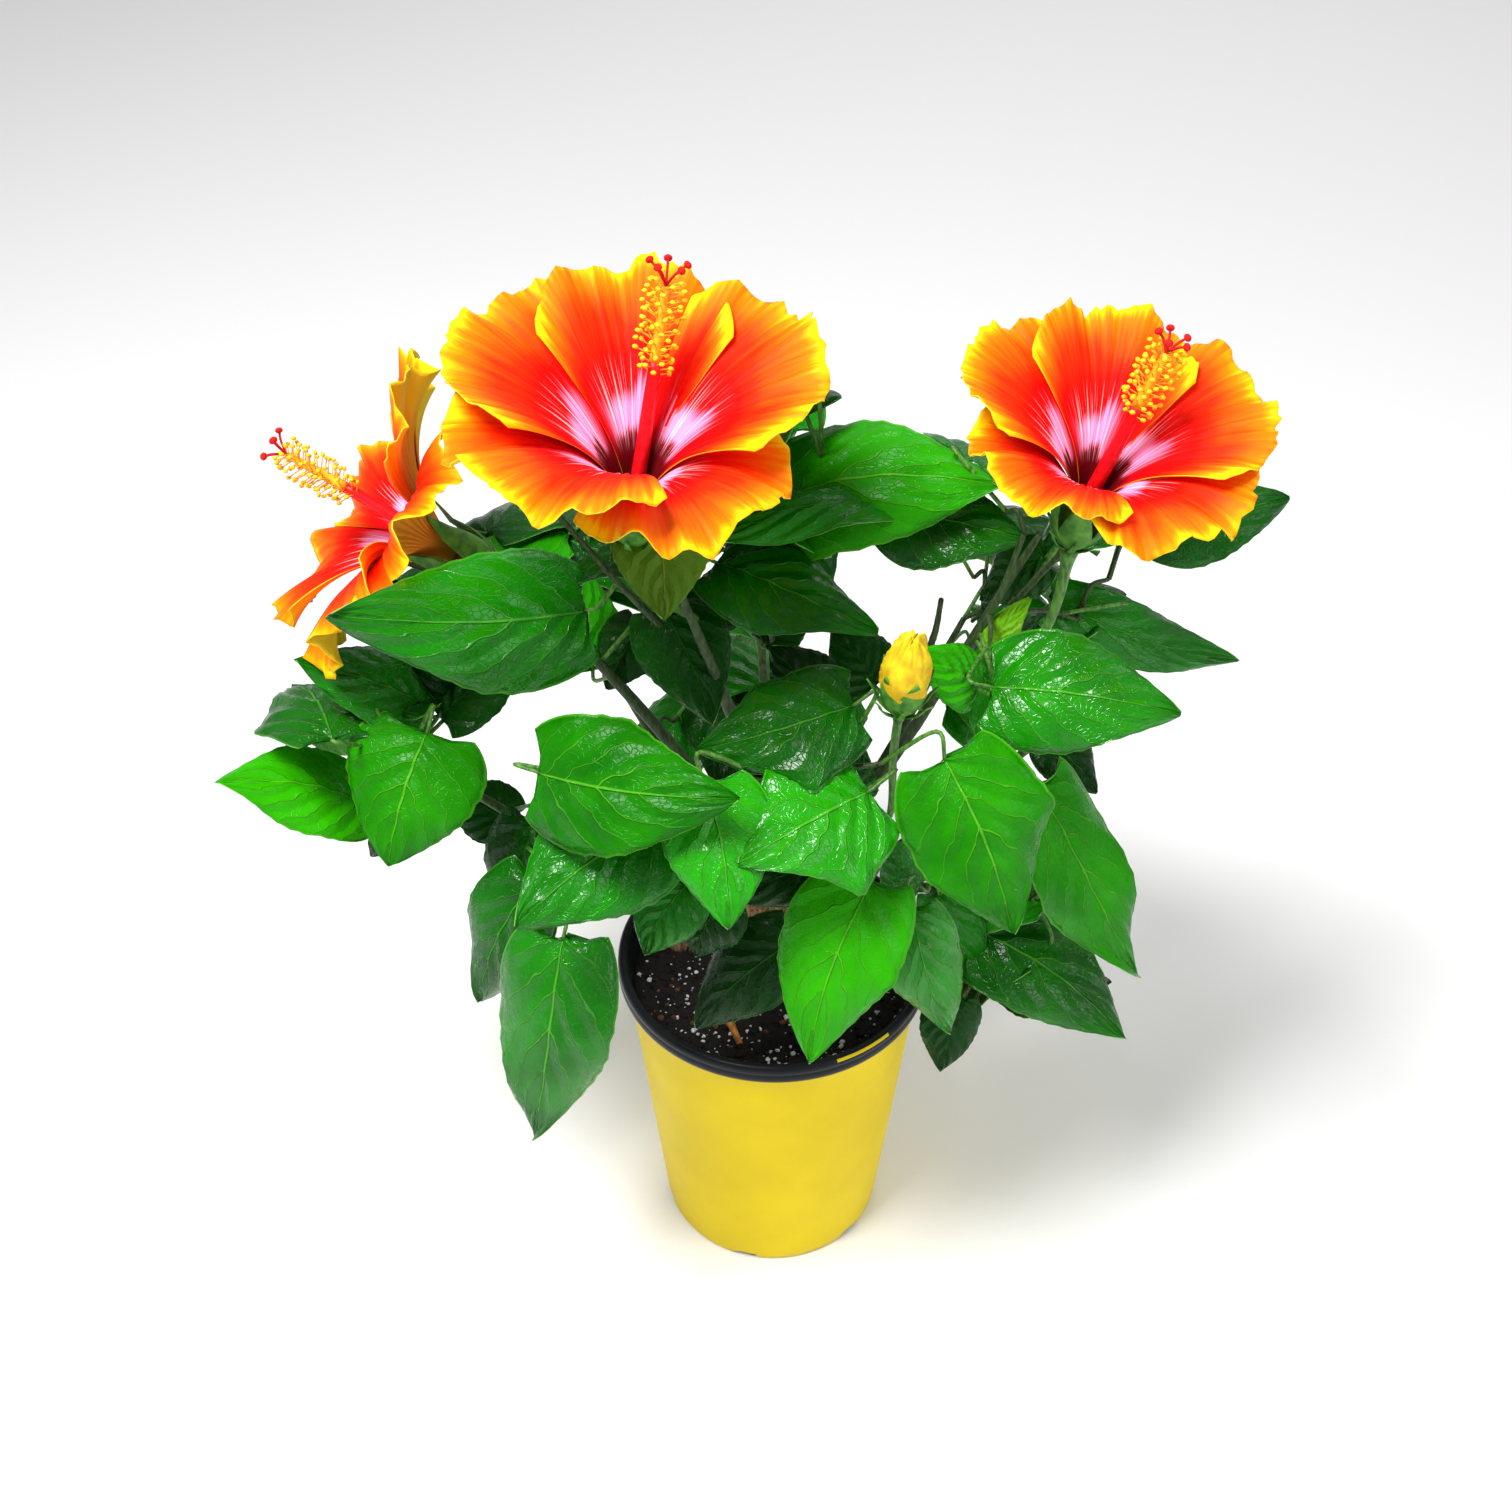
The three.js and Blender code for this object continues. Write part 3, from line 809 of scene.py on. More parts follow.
def sheets_piece(name, grids, tones, thickness, materials):
    """Joins many sheets of the same grid into one piece with its three maps."""
    rows, columns = grids[0].shape[:2]
    count = len(grids)
    faces, slots = sheet_faces(rows, columns)
    points = [thicken(grid, thickness) for grid in grids]
    all_faces = np.vstack([faces + i * len(points[0]) for i in range(count)])
    maps = zip(*[blade_maps(rows, columns, count, i, tones[i]) for i in range(count)])
    named = {key: np.vstack(parts) for key, parts in zip(("Blade", "Tone", "OFBake"), maps)}
    all_slots = np.tile(slots, count)
    return make_piece(name, np.vstack(points), all_faces, materials, all_slots, named)


# %% The leaves, shade by shade
LEAVES_A_PIECE = 36
LEAF_THICKNESS = 0.5 * MM
for shade in LEAF_SHADES_WITH_PAINTED_LIGHT:
    chosen = [leaf for leaf in leaves if leaf["shade"] == shade]
    grids = []
    for leaf in chosen:
        shape = {key: leaf[key] for key in ("lobe", "arch", "wave", "cup") if key in leaf}
        grids.append(leaf_grid(leaf["foot"], leaf["tip"], leaf["breadth"], leaf["facing"], **shape))
    parts = math.ceil(len(grids) / LEAVES_A_PIECE)
    for k in range(parts):
        dealt = grids[k::parts]
        tones = chance.uniform(0, 1, (len(dealt), 2))
        name = f"leaves_{shade}_{k + 1}"
        materials = [leaf_tops[shade], leaf_backs]
        piece = sheets_piece(name, dealt, tones, LEAF_THICKNESS, materials)
        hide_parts(*MASSES)

# %% [markdown]
# ## The blooms
# A bloom is a funnel of five petals that overlap like the blades of a fan. Each petal leaves the
# throat steeply, flares out and ends in a ruffled margin. It is again a grid: rows from throat to
# margin, columns from side to side. One side of each petal rides over its neighbour. A cloth
# simulation could ruffle the petals, but it is hard to steer petal by petal. So the ruffles are sine
# waves of four sizes, the finest of them ragged, and all of them grow towards the margin.

# %% One petal
PETAL_ROWS, PETAL_COLUMNS = 40, 49
PETAL_STEPS = 200
THROAT_TILT = 17  # degrees from the bloom's axis
THROAT_RADIUS = 3.5 * MM


def petal_grid(reach, azimuth, flare, long, ruffle):
    """A petal in the bloom's own frame: throat at the origin, opening towards +Z."""
    rows, columns = np.linspace(0, 1, PETAL_ROWS), np.linspace(-1, 1, PETAL_COLUMNS)
    v, u = np.meshgrid(rows, columns, indexing="ij")
    out = v * (1 - 0.20 * abs(u) ** 3.0)
    steps = np.linspace(0, 1, PETAL_STEPS)
    tilt = np.radians(THROAT_TILT + (flare - THROAT_TILT) * steps**0.95)
    radius = np.concatenate([[0], np.cumsum(np.sin(tilt))[:-1]]) / PETAL_STEPS
    height = np.concatenate([[0], np.cumsum(np.cos(tilt))[:-1]]) / PETAL_STEPS
    length = reach * long * 1.33
    r = THROAT_RADIUS + length * np.interp(out, steps, radius)
    h = length * np.interp(out, steps, height)
    phase = chance.uniform(0, 2 * np.pi, 4)
    h += ruffle * 0.055 * reach * out**3 * np.sin(2.6 * np.pi * u + phase[0])
    h += ruffle * 0.034 * reach * out**5 * np.sin(6.1 * np.pi * u + phase[1])
    h += ruffle * 0.007 * reach * out**10 * np.sin(15 * np.pi * u + phase[2])
    r *= 1 + ruffle * 0.013 * out**8 * np.sin(8.1 * np.pi * u + phase[3])
    ragged = np.sin(19 * np.pi * u + 3 * phase[0]) + np.sin(31 * np.pi * u + 5 * phase[1])
    r *= 1 + ruffle * 0.007 * out**12 * ragged
    h += ruffle * 0.006 * reach * out**8 * ragged
    h += 0.035 * reach * u * out
    h += 0.6 * MM * np.sin(15 * np.pi * u) * smooth(out, 0.1, 0.4)
    half_angle = np.radians(42 + 10 * smooth(out, 0.1, 0.6))
    angle = math.radians(azimuth) + u * half_angle
    return np.stack([r * np.cos(angle), r * np.sin(angle), h], -1)


def bloom_frame(facing):
    """Three directions: the bloom's right, its top, and the way that it faces."""
    facing = unit(facing)
    if abs(facing[0]) >= 0.99:  # the right can't be told when it faces right
        facing = unit([0.99, 0.1, 0.1])
    right = unit(np.array([1.0, 0, 0]) - facing[0] * facing)
    return np.stack([right, np.cross(facing, right), facing])


# %% [markdown]
# Hibiscus petals are thin and matte, almost like silk. Their colour runs in bands from the throat
# out: a dark crimson eye, a pink halo with white streaks along the veins, pure red, orange, and a
# yellow margin. They could be painted by hand, fifteen times over. Instead the bands are one ramp
# along the petal, shaken by a noise that is stretched along the veins, so that each band ends in
# fine brush strokes. The halo and its streaks lie a little to one side of the middle. The backs are
# plainer, orange and yellow.

# %% Materials of the petals
HALO_MIDDLE = 0.60  # of the way across a petal
BANDS = [
    (0.0, "#4a0006"), (0.19, "#6a000c"), (0.27, "#a8000e"), (0.36, "#dc000a"), (0.58, "#ee0600"),
    (0.70, "#f02a00"), (0.81, "#ee5400"), (0.92, "#f07c00"), (0.965, "#f2a602"), (0.99, "#f2c808"),
]


def petal_inside_material():
    """Petal skin: bands from throat to margin, drawn out along the veins."""
    material, tree, shader = start_material("petal inside, matte silk", 0.62, 1.4)
    shader.inputs["Specular IOR Level"].default_value = 0.15
    blade, u, v, side = sheet_places(tree)
    drawn_out = add_node(tree, "Mapping", {"Vector": blade, "Scale": (46, 3.2, 1)})
    brush = add_node(tree, "TexNoise", {"Vector": drawn_out, "Scale": 1.0, "Detail": 3.0})
    flank = add_node(tree, "Math", {0: side, 1: 5.0}, operation="POWER")
    outer = add_node(tree, "MapRange", {0: v, 1: 0.3, 2: 0.7, 3: 0.0, 4: 0.13})
    flank_out = add_node(tree, "Math", {0: flank, 1: outer}, operation="MULTIPLY")
    along = add_node(tree, "Math", {0: v, 1: flank_out}, operation="ADD")
    shaken = add_node(tree, "Math", {0: brush, 1: 0.22, 2: along}, operation="MULTIPLY_ADD")
    slow = add_node(tree, "TexNoise", {"Vector": blade, "Scale": 3.0, "Detail": 1.0})
    drift = add_node(tree, "Math", {0: slow, 1: 0.30, 2: shaken}, operation="MULTIPLY_ADD")
    place = add_node(tree, "Math", {0: drift, 1: -0.29}, operation="ADD")
    bands = add_node(tree, "ValToRGB", {0: place}, stops=BANDS)
    inner = add_node(tree, "MapRange", {0: place, 1: 0.22, 2: 0.27, 3: 0.0, 4: 1.0}, **EASED)
    rim = add_node(tree, "MapRange", {0: place, 1: 0.34, 2: 0.46, 3: 1.0, 4: 0.0}, **EASED)
    off_centre = add_node(tree, "Math", {0: u, 1: -HALO_MIDDLE}, operation="ADD")
    width = add_node(tree, "Math", {0: off_centre}, operation="ABSOLUTE")
    middle = add_node(tree, "MapRange", {0: width, 1: 0.12, 2: 0.36, 3: 1.0, 4: 0.0}, **EASED)
    ring = add_node(tree, "Math", {0: inner, 1: rim}, operation="MULTIPLY")
    pink_share = add_node(tree, "Math", {0: ring, 1: middle}, operation="MULTIPLY")
    pinked = add_node(
        tree, "Mix", {0: pink_share, 6: bands.outputs[0], 7: srgb("#ff9fd6")}, data_type="RGBA"
    )
    hairs = add_node(tree, "Mapping", {"Vector": blade, "Scale": (90, 1.6, 1)})
    hair = add_node(tree, "TexNoise", {"Vector": hairs, "Scale": 1.0, "Detail": 1.0})
    fine = add_node(tree, "MapRange", {0: hair, 1: 0.56, 2: 0.66, 3: 0.0, 4: 1.0})
    reach_in = add_node(tree, "MapRange", {0: v, 1: 0.20, 2: 0.32, 3: 0.0, 4: 1.0})
    reach_out = add_node(tree, "MapRange", {0: v, 1: 0.38, 2: 0.62, 3: 1.0, 4: 0.0})
    reach_both = add_node(tree, "Math", {0: reach_in, 1: reach_out}, operation="MULTIPLY")
    where = add_node(tree, "Math", {0: reach_both, 1: middle}, operation="MULTIPLY")
    white_share = add_node(tree, "Math", {0: where, 1: fine}, operation="MULTIPLY")
    weighed = add_node(tree, "Math", {0: white_share, 1: 0.9}, operation="MULTIPLY")
    colour = add_node(
        tree, "Mix", {0: weighed, 6: pinked.outputs[2], 7: srgb("#fff0f6")}, data_type="RGBA"
    )
    finish_skin(tree, shader, colour.outputs[2], brush, 0.6, 0.0008)
    return material


def petal_outside_material():
    """The duller outside of a petal: orange along the veins, yellow towards the margin."""
    material, tree, shader = start_material("petal outside, matte silk", 0.7, 1.4)
    blade = add_node(tree, "UVMap", uv_map="Blade")
    part = add_node(tree, "SeparateXYZ", {0: blade})
    drawn_out = add_node(tree, "Mapping", {"Vector": blade.outputs[0], "Scale": (40, 2.0, 1)})
    brush = add_node(tree, "TexNoise", {"Vector": drawn_out, "Scale": 1.0, "Detail": 3.0})
    shaken = add_node(
        tree, "Math", {0: brush, 1: 0.35, 2: part.outputs[1]}, operation="MULTIPLY_ADD"
    )
    stops = [(0.1, "#b8a020"), (0.35, "#e07808"), (0.8, "#f59a0c"), (1.0, "#ffd018")]
    tone = add_node(tree, "ValToRGB", {0: shaken}, stops=stops)
    finish_skin(tree, shader, tone.outputs[0], brush, 0.4, 0.0006)
    return material


petal_skins = [petal_inside_material(), petal_outside_material()]
print("petals:", [skin.name for skin in petal_skins])

# %% [markdown]
# Each petal has its own azimuth and flare in degrees, and its own length and ruffle as shares of
# the usual ones. The back petals of an open bloom stand up and the front ones roll over. A flare
# over 90 turns the margin back.

# %% The petals of the three blooms
PETALS = {
    "bloom_front": [
        (92, 66, 0.96, 1.0), (162, 74, 1.01, 1.0), (232, 86, 1.03, 1.3),
        (300, 100, 0.88, 1.5), (18, 76, 1.02, 1.0),
    ],
    "bloom_right": [
        (84, 66, 0.96, 1.0), (150, 76, 1.00, 1.0), (222, 88, 0.92, 1.3),
        (300, 96, 0.94, 1.4), (12, 80, 1.00, 1.0),
    ],
    "bloom_left": [
        (8, 80, 0.93, 1.5), (80, 88, 0.95, 1.4), (152, 90, 0.97, 1.5),
        (224, 118, 0.90, 1.6), (296, 122, 0.86, 1.5),
    ],
}
PETAL_THICKNESS = 0.45 * MM


def place_flower(points, flower):
    """Points of a flower's own frame, moved to its place on the plant."""
    throat, facing = flower[:2]
    return mm(*throat) + points @ bloom_frame(facing)


for name, petals in PETALS.items():
    reach = BLOOMS[name][2] * MM
    grids = [place_flower(petal_grid(reach, *petal), BLOOMS[name]) for petal in petals]
    tones = chance.uniform(0, 1, (len(grids), 2))
    piece = sheets_piece(f"{name}_petals", grids, tones, PETAL_THICKNESS, petal_skins)
    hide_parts(name)

# %% [markdown]
# Out of the throat rises the column: red at its foot and yellow above, with some eighty anthers on
# short threads round its upper half, and five red velvet pads at its tip. A bumpy material could
# stand for the anthers, but they stand out singly from the side, so each is a small shape. Under the
# petals sits the calyx, a green cup with five points, in a ring of narrow bracts.

# %% Materials of the column and calyx
def soft_material(name, low, high, roughness, scale):
    """A plain skin with a soft mottle of two near colours and a slight grain."""
    material, tree, shader = start_material(name, roughness)
    where = add_node(tree, "TexCoord")
    mottle = add_node(
        tree, "TexNoise", {"Vector": where.outputs["Object"], "Scale": scale, "Detail": 3.0}
    )
    tone = add_node(tree, "ValToRGB", {0: mottle}, stops=[(0.35, low), (0.65, high)])
    finish_skin(tree, shader, tone.outputs[0], mottle, 0.3, 0.0004)
    return material


column_red = soft_material("column foot, smooth and fleshy", "#d00010", "#f80c14", 0.45, 300)
column_gold = soft_material("column top, smooth and fleshy", "#f0a010", "#ffc828", 0.5, 300)
pollen = soft_material("anthers, dusty with pollen", "#f0b400", "#ffe028", 0.9, 900)
stigma_red = soft_material("stigma pads, velvety", "#a80008", "#e01010", 0.9, 900)
calyx_green = soft_material("calyx, downy green skin", "#2c6a14", "#5c9a30", 0.6, 220)
column_skins = [column_red, column_gold, pollen, stigma_red]
print("columns:", [skin.name for skin in column_skins], "and", calyx_green.name)


# %% Small shapes
def ball(centre, radii, axis, rings, sides):
    """A small closed egg at a centre, with its third radius along an axis."""
    tilt = np.linspace(0, np.pi, rings + 2)[1:-1]
    turn = np.linspace(0, 2 * np.pi, sides, endpoint=False)
    a, b = np.meshgrid(tilt, turn, indexing="ij")
    around = np.stack([np.sin(a) * np.cos(b), np.sin(a) * np.sin(b), -np.cos(a)], -1)
    points = np.vstack([-UP, around.reshape(-1, 3), UP]) * radii
    return centre + points @ bloom_frame(axis), closed_faces(rings, sides)


# %% The columns
ANTHERS = 84
STIGMAS = 5
RED_SHARE = 0.56  # of the column's length


def column_heap(throat, lean):
    """The column, anthers and stigma pads of one bloom, as shapes with four materials."""
    foot = mm(*throat)
    tip = foot + mm(*lean)
    bow = (foot + tip) / 2 + unit(lean)[[1, 0, 2]] * [1.5, -1.5, 0] * MM
    line = bend(foot - 0.1 * (tip - foot), bow, tip - 0.14 * (tip - foot), count=12)
    split = int(len(line) * RED_SHARE)
    heap = Heap()
    heap.add(tube(line[: split + 1], np.linspace(3.4, 2.5, split + 1) * MM, sides=10), 0)
    heap.add(tube(line[split:], np.linspace(2.5, 1.5, len(line) - split) * MM, sides=10), 1)
    axis = unit(tip - foot)
    frame_of = bloom_frame(axis)
    for k in range(ANTHERS):
        share = 0.51 + 0.36 * (k + 0.5) / ANTHERS
        start = foot + (tip - foot) * share
        angle = k * GOLDEN_ANGLE + chance.normal(0, 0.2)
        way = unit(np.array([np.cos(angle), np.sin(angle), 0.45]) @ frame_of)
        long = (5.5 + 3.0 * np.sin(np.pi * (share - 0.46) / 0.46)) * chance.uniform(0.85, 1.2) * MM
        end = start + way * long
        thread = np.array([start, (start + end) / 2 + UP * 0.2 * MM, end])
        heap.add(tube(thread, 0.3 * MM, sides=4), 1)
        heap.add(ball(end, mm(1.3, 0.95, 0.95), chance.normal(0, 1, 3), rings=3, sides=6), 2)
    for k in range(STIGMAS):
        angle = 2 * np.pi * k / STIGMAS + 0.4
        way = unit(np.array([np.cos(angle), np.sin(angle), 1.1]) @ frame_of)
        start = line[-1]
        end = start + way * 0.11 * np.linalg.norm(tip - foot)
        arm = bend(start, (start + end) / 2 + axis * MM, end, count=4)
        heap.add(tube(arm, 0.55 * MM, sides=5), 3)
        heap.add(ball(end, mm(1.7, 1.7, 1.3), way, rings=5, sides=9), 3)
    return heap


for name, (throat, _, _, lean) in BLOOMS.items():
    column_heap(throat, lean).piece(f"{name}_column", column_skins, "petal")

# %% [markdown]
# The calyx is a cup of five sepals. Each is a narrow sheet, as a leaf is, that hugs the funnel and
# ends in a point. Below it are seven thin bracts that stand a little away. The stalk of a bloom is
# longer than a leaf's and comes out of the wood below.

# %% The calyxes and stalks
SEPAL_ROWS, SEPAL_COLUMNS = 12, 7
SEPAL_THICKNESS = 0.6 * MM


def sepal_grid(azimuth, long, wide, start, opening):
    """A narrow pointed sheet that rises from the bloom's foot and opens outwards."""
    rows, columns = np.linspace(0, 1, SEPAL_ROWS), np.linspace(-1, 1, SEPAL_COLUMNS)
    t, s = np.meshgrid(rows, columns, indexing="ij")
    half = wide / 2 * np.sin(np.pi * (0.25 + 0.75 * t**0.8)) + 0.2 * MM
    r = THROAT_RADIUS + long * (opening * t + 0.10 * np.sin(np.pi * np.minimum(t * 1.4, 1)))
    angle = math.radians(azimuth) + s * half / np.maximum(r, 0.004)
    return np.stack([r * np.cos(angle), r * np.sin(angle), start + long * t * 0.96], -1)


def calyx(name, flower, sepals, bracts):
    """Five sepals and seven bracts, told as first azimuth, length, breadth, start and opening."""
    grids = []
    for count, step, (first, long, wide, start, opening) in ((5, 72, sepals), (7, 51.4, bracts)):
        for k in range(count):
            sheet = sepal_grid(first + step * k, long * MM, wide * MM, start * MM, opening)
            grids.append(place_flower(sheet, flower))
    tones = chance.uniform(0, 1, (len(grids), 2))
    sheets_piece(name, grids, tones, SEPAL_THICKNESS, [calyx_green, calyx_green])


STALKS = {
    "bloom_front": ((-58, -36, 457), (-54, -24, 428), (-32, -4, 396)),
    "bloom_right": ((120.5, -25, 449), (118, -24, 420), (112, -18, 388)),
    "bloom_left": ((-121, 13, 406), (-108, 12, 392), (-84, 18, 366)),
}
stalk_heap = Heap()
for name, route in STALKS.items():
    sepals = (36, 0.62 * BLOOMS[name][2], 15, -22, 0.30)
    calyx(f"{name}_calyx", BLOOMS[name], sepals, (0, 15, 2.6, -23, 0.75))
    line = bend(*[mm(*p) for p in route], count=9)
    radii = np.linspace(2.6, 1.9, len(line)) * MM
    radii[:3] = mm(4.2, 3.6, 3.0)
    stalk_heap.add(tube(line, radii, sides=9, rough=0.02))

# %% [markdown]
# The bud is a closed bloom: yellow petals rolled round each other, crumpled at the tip, in a green
# calyx. Only the outside of the roll shows, so five rolled sheets would be wasted: it is one closed
# skin, twisted so that the rolled edges show as slanting ridges.

# %% The bud
bud_petal = soft_material("bud petals, rolled and crumpled", "#d4a806", "#f4d810", 0.65, 160)


def bud_shape():
    """A closed egg with five slanting rolls and a crumpled tip."""
    rings, sides = 40, 50
    turn = np.linspace(0, 2 * np.pi, sides, endpoint=False)
    t, a = np.meshgrid(np.linspace(0, 1, rings), turn, indexing="ij")
    body = 10.6 * np.sin(np.pi * (0.10 + 0.84 * t**0.9)) ** 0.8
    roll = ((a * 5 / (2 * np.pi) + 1.3 * t) % 1) ** 1.5
    crumple = smooth(t, 0.55, 1.0) * (1.3 * np.sin(9 * a + 6 * t) + 0.8 * np.sin(17 * a - 9 * t))
    r = body * (0.90 + 0.14 * roll) + crumple
    h = 3 + 37 * t + smooth(t, 0.8, 1.0) * 2.2 * np.sin(5 * a + 1)
    grid = np.stack([r * np.cos(a), r * np.sin(a), h], -1)
    points = np.vstack([3 * UP, grid.reshape(-1, 3), 38 * UP]) * MM
    return points, closed_faces(rings, sides)


BUD = ((50, -70, 400), (0.08, -0.1, 1.0))
points, faces = bud_shape()
bud_heap = Heap()
bud_heap.add((place_flower(points, BUD), faces))
bud_piece = bud_heap.piece("bud_petals", [bud_petal], "petal")
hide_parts("bud")
calyx("bud_calyx", BUD, (0, 26, 14, -1, 0.30), (10, 15, 2.4, -2, 0.8))
line = bend(mm(*BUD[0]), mm(49, -66, 372), mm(50, -60, 335), mm(44, -48, 312), count=8)
radii = np.linspace(2.0, 1.5, len(line)) * MM
radii[:2] = mm(4.5, 3.0)
stalk_heap.add(tube(line, radii, sides=9))
bloom_stalks = stalk_heap.piece("bloom_stalks", [leaf_stalk], "stalk")
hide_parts("stalk_front", "stalk_right", "stalk_bud")

# %% [markdown]
# ## The pot
# A nursery pot is moulded from thin polypropylene in two skins: bright yellow outside and black
# inside, and the rolled lip shows the black. It is a lathe shape: one profile turned about the axis,
# with drain notches in the edge of its foot. A Screw modifier could turn the profile, but the rings
# are made here one by one, so that the notches can be lifted out of them. The moulded skin is satin,
# with a faint orange-peel, about 2.4 mm from dimple to dimple. Along a short stretch of the lip the
# yellow skin is bare.

# %% Moulded plastic
def plastic_material(name, colour, dusty, roughness):
    """Moulded polypropylene: one dyed colour, slightly clouded, with a fine orange-peel."""
    material, tree, shader = start_material(name, roughness, 1.49)
    shader.inputs["Specular IOR Level"].default_value = 0.12
    where = add_node(tree, "TexCoord")
    cloud = add_node(
        tree, "TexNoise", {"Vector": where.outputs["Object"], "Scale": 14.0, "Detail": 4.0}
    )
    tone = add_node(tree, "ValToRGB", {0: cloud}, stops=[(0.3, dusty), (0.7, colour)])
    peel = add_node(
        tree, "TexNoise", {"Vector": where.outputs["Object"], "Scale": 420.0, "Detail": 2.0}
    )
    finish_skin(tree, shader, tone.outputs[0], peel, 0.12, 0.0004)
    return material


pot_yellow = plastic_material("moulded polypropylene, yellow", "#e8ce00", "#d8bc00", 0.45)
pot_black = plastic_material("moulded polypropylene, black", "#23262a", "#15171a", 0.32)
print("pot:", pot_yellow.name, "and", pot_black.name)

# %% The pot
POT_SIDES = 144
POT_HEIGHT = 186
WALL = 2.2
YELLOW, BLACK = 0, 1
NOTCHES = 6
NOTCH_HEIGHT = 4.2
NOTCH_HALF = 6.5
NOTCH_TURN = 0.26  # of the way from one notch to the next
BARE_LIP = (291, 314)  # degrees round the pot


def outer_radius(z):
    """The radius of the pot's outside at a height, in millimetres."""
    return 60 + 17 / POT_HEIGHT * z


def inner_point(z):
    """A place on the pot's inner skin at a height."""
    return outer_radius(z) - WALL, z, BLACK


PROFILE = [
    (51, 0, YELLOW), (57, 0, YELLOW), (58.4, 0.3, YELLOW), (59.4, 1, YELLOW), (60.1, 2.6, YELLOW),
    (60.7, 8, YELLOW),
    *[(outer_radius(z), z, YELLOW) for z in range(16, 172, 12)],
    (outer_radius(173), 173, YELLOW), (76.6, 174.6, YELLOW),
    (78.8, 175.0, BLACK), (79.9, 175.8, BLACK), (80.4, 177.4, BLACK), (80.4, 180.0, BLACK),
    (80.1, 180.6, BLACK), (80.1, 181.2, BLACK), (80.4, 181.8, BLACK), (80.2, 184.0, BLACK),
    (79.3, 185.4, BLACK), (77.9, POT_HEIGHT, BLACK), (76.5, 185.6, BLACK), (75.3, 184.4, BLACK),
    (74.7, 182.0, BLACK), *[inner_point(z) for z in (166, 150, 120, 60, 3)],
]
turn = np.linspace(0, 2 * np.pi, POT_SIDES, endpoint=False)
rings = []
for radius, z, _ in PROFILE:
    lift = np.zeros(POT_SIDES)
    if z < 3 and 55 < radius < 62:
        for k in range(NOTCHES):
            middle = (k + NOTCH_TURN) / NOTCHES * 2 * np.pi
            off = abs((turn - middle + np.pi) % (2 * np.pi) - np.pi) * radius
            lift = np.maximum(lift, NOTCH_HEIGHT * smooth(NOTCH_HALF - off, 0, 1.2))
    r = radius + (0.0 if z < 4 else 0.12 * np.sin(3 * turn + z / 40))
    rings.append(np.stack([r * np.cos(turn), r * np.sin(turn), np.maximum(z, lift)], -1) * MM)
degrees = np.degrees(turn)
bare = (degrees > BARE_LIP[0]) & (degrees < BARE_LIP[1])
slots = []
for (radius, _, _), (_, z, skin) in zip(PROFILE, PROFILE[1:]):
    lip_top = 184.5 < z < 185.5 and radius > 79
    slots.extend(np.where(bare & lip_top, YELLOW, skin))
bottom = list(range(POT_SIDES))[::-1]
inside = [(len(PROFILE) - 1) * POT_SIDES + k for k in range(POT_SIDES)]
faces = wall_faces(len(PROFILE), POT_SIDES) + [bottom, inside]
slots += [YELLOW, BLACK]
pot = make_piece("pot_shell", np.vstack(rings), faces, [pot_yellow, pot_black], slots)
pot.modifiers.new("sharp corners", "EDGE_SPLIT").split_angle = math.radians(50)
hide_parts("pot")

# %% [markdown]
# ## The potting mix
# The mix is dark moist peat with white grains of perlite and bits of brown bark. Its top is a disc
# of rings, pushed up and down by a few waves and by grain. Speckles in its material would lie flat,
# and real grains catch the light, so they are small angular stones, strewn by the seeded generator.

# %% Materials of the potting mix
peat = soft_material("moist peat, crumbly", "#040303", "#18120e", 0.95, 420)
perlite = soft_material("perlite grains, chalky", "#b9bcc0", "#f2f3f4", 0.9, 800)
chips = soft_material("bark chips, dry", "#34200f", "#6a4426", 0.9, 300)
print("mix:", [made.name for made in (peat, perlite, chips)])


# %% The mix
SOIL_TOP = 166.6
SOIL_RADIUS = 73.8
SOIL_BOTTOM = (73.6, 156)  # radius and height
RINGS, SPOKES = 46, 120


def soil_height(x, y):
    """The uneven height of the mix, in metres."""
    r = np.hypot(x, y) / (75 * MM)
    waves = 1.3 * np.sin(x * 95 + 1) * np.cos(y * 80) + 0.9 * np.sin(x * 210 + y * 160)
    return (SOIL_TOP + 1.6 * (1 - r**2) + 0.6 * waves) * MM


soil = Heap()
points = [[0, 0, soil_height(0, 0)]]
spokes = np.linspace(0, 2 * np.pi, SPOKES, endpoint=False)
for r in SOIL_RADIUS * MM * np.arange(1, RINGS + 1) / RINGS:
    for a in spokes:
        x, y = r * np.cos(a), r * np.sin(a)
        points.append([x, y, soil_height(x, y) + chance.normal(0, 0.45) * MM])
r, z = SOIL_BOTTOM
points += [mm(r * np.cos(a), r * np.sin(a), z) for a in spokes]
points.append(mm(0, 0, z))
soil.add((np.array(points), [face[::-1] for face in closed_faces(RINGS + 1, SPOKES)]), 0)

# %% The grains: more peat crumbs than perlite, and few bark chips
GRAINS = 1500
SHARES = [0.60, 0.31, 0.09]
BIGGER = [1.5, 1.0, 1.6]
for k in range(GRAINS):
    r, a = 72 * MM * math.sqrt(chance.uniform(0.01, 1)), chance.uniform(0, 2 * np.pi)
    x, y = r * math.cos(a), r * math.sin(a)
    kind = int(chance.choice(3, p=SHARES))
    size = (0.35 + 1.3 * chance.random() ** 2) * BIGGER[kind]
    radii = mm(size, size * chance.uniform(0.5, 1), size * chance.uniform(0.5, 0.9))
    middle = np.array([x, y, soil_height(x, y) + 0.4 * MM])
    grain, faces = ball(middle, radii, chance.normal(0, 1, 3), 3, 6)
    soil.add((grain + chance.normal(0, 0.1 * size, grain.shape) * MM, faces), kind)
soil_piece = soil.piece("potting_mix", [peat, perlite, chips], "soil")
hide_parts("soil")

# %% [markdown]
# The cut stump of an old stem stands in the mix, and a loose stick without bark lies on it. Both are
# short tubes, made as the boughs are, with rings that are more uneven.

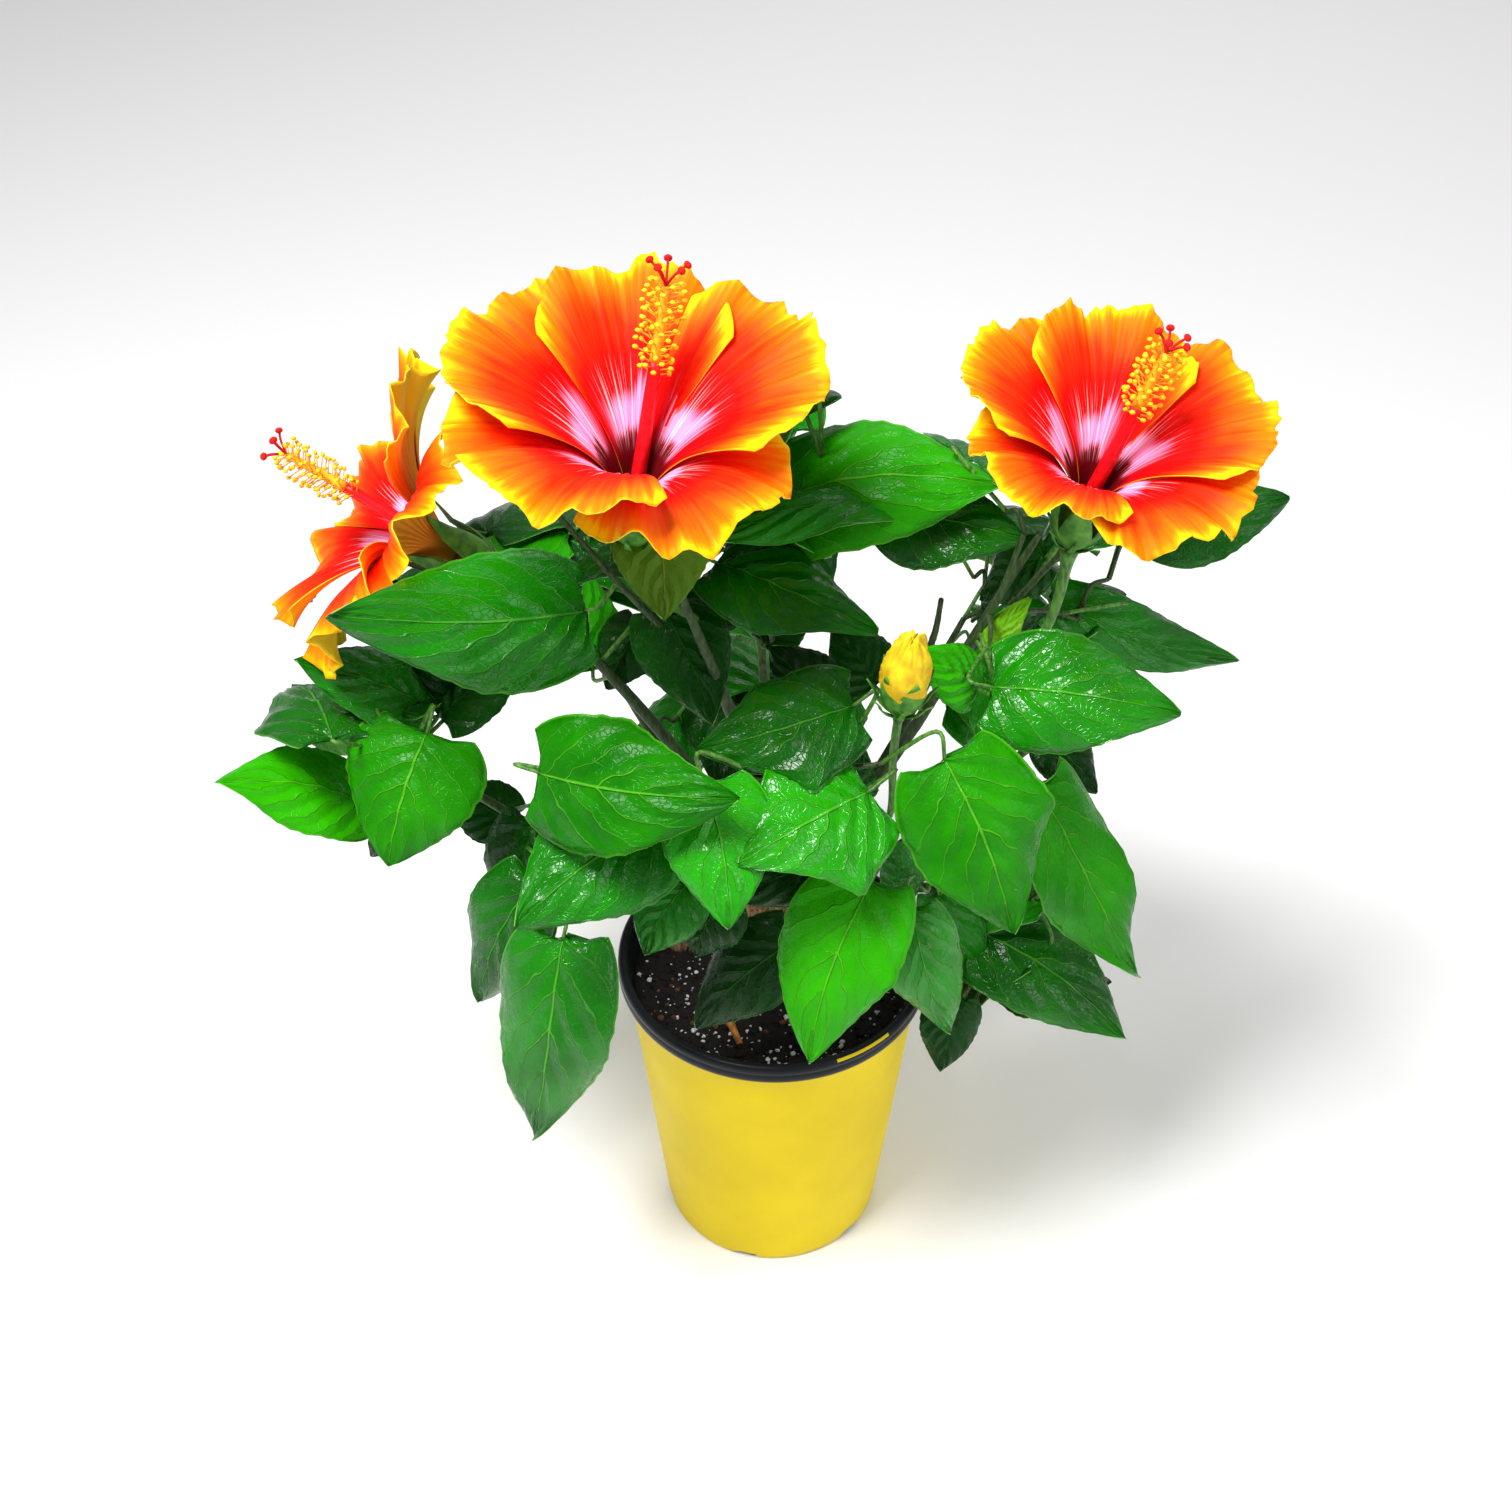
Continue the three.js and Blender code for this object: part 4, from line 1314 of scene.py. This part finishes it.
# %% The stump and the stick
bits = Heap()
stump = bend(mm(-50, 22, 165), mm(-51, 23, 172), mm(-52, 24, 179), count=5)
bits.add(tube(stump, np.linspace(6.2, 4.8, len(stump)) * MM, sides=12, rough=0.05))
stick = bend(mm(-28, -28, 170.5), mm(-22, -38, 171.5), mm(-17, -50, 170.0), count=6)
bits.add(tube(stick, np.linspace(2.4, 1.6, len(stick)) * MM, sides=8, rough=0.08), 1)
bare_wood = soft_material("stick, bare dry wood", "#8a4e1c", "#cf8a3e", 0.8, 260)
stub_piece = bits.piece("stump_and_stick", [old_bark, bare_wood], "bark")
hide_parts("stub")

# %% [markdown]
# ## Light, floor and camera
# The plant stands on a plain pale floor in soft studio light: a strong lamp high at the front left,
# a weak one low at the right, a large one high behind, and a pale sky all round. A sun would be
# simpler, but its shadow is hard and its gleam small: lamps with a wide face give the soft shadow
# and the broad gleam on the leaves. The camera looks down at the plant by 40 degrees, with a lens of
# 42.86 mm.

# %% Floor and light
floor_mesh = bpy.data.meshes.new("floor")
floor_mesh.from_pydata([(-6, -6, 0), (6, -6, 0), (6, 6, 0), (-6, 6, 0)], [], [(0, 1, 2, 3)])
floor = into_scene("floor", floor_mesh)
floor_material, _, floor_shader = start_material("studio floor, matte paper", 0.9)
floor_shader.inputs["Base Color"].default_value = srgb("#fafafa")
floor_mesh.materials.append(floor_material)


def lamp(name, place, size, power):
    """A square soft lamp that shines at the middle of the plant."""
    light = bpy.data.lights.new(name, "AREA")
    light.size = size
    light.energy = power
    holder = into_scene(name, light)
    holder.location = place
    ahead = np.array([0, 0, 0.32]) - np.array(place)
    tilt = math.acos(-ahead[2] / np.linalg.norm(ahead))
    holder.rotation_euler = (tilt, 0, math.atan2(ahead[1], ahead[0]) - math.pi / 2)


lamp("key_lamp", (-0.55, -0.5, 1.9), 0.6, 44)
lamp("fill_lamp", (1.3, -0.9, 1.0), 1.0, 9)
lamp("back_lamp", (0.7, 2.4, 2.0), 2.0, 16)
world = bpy.data.worlds.new("studio")
world.use_nodes = True
sky = world.node_tree.nodes["Background"]
sky.inputs["Color"].default_value = (1, 1, 1, 1)
sky.inputs["Strength"].default_value = 0.38
bpy.context.scene.world = world
bpy.context.scene.view_settings.view_transform = "Standard"
print("lamps:", [made.name for made in bpy.data.lights])

# %% Camera
camera_data = bpy.data.cameras.new("camera")
camera_data.sensor_width = 36
camera_data.lens = 42.86
camera = into_scene("camera", camera_data)
camera.location = mm(-9, -649, 861)
camera.rotation_euler = (math.radians(90 - 40), 0, 0)
bpy.context.scene.camera = camera
print("the camera stands", round(camera.location.length, 2), "m from the pot's foot")
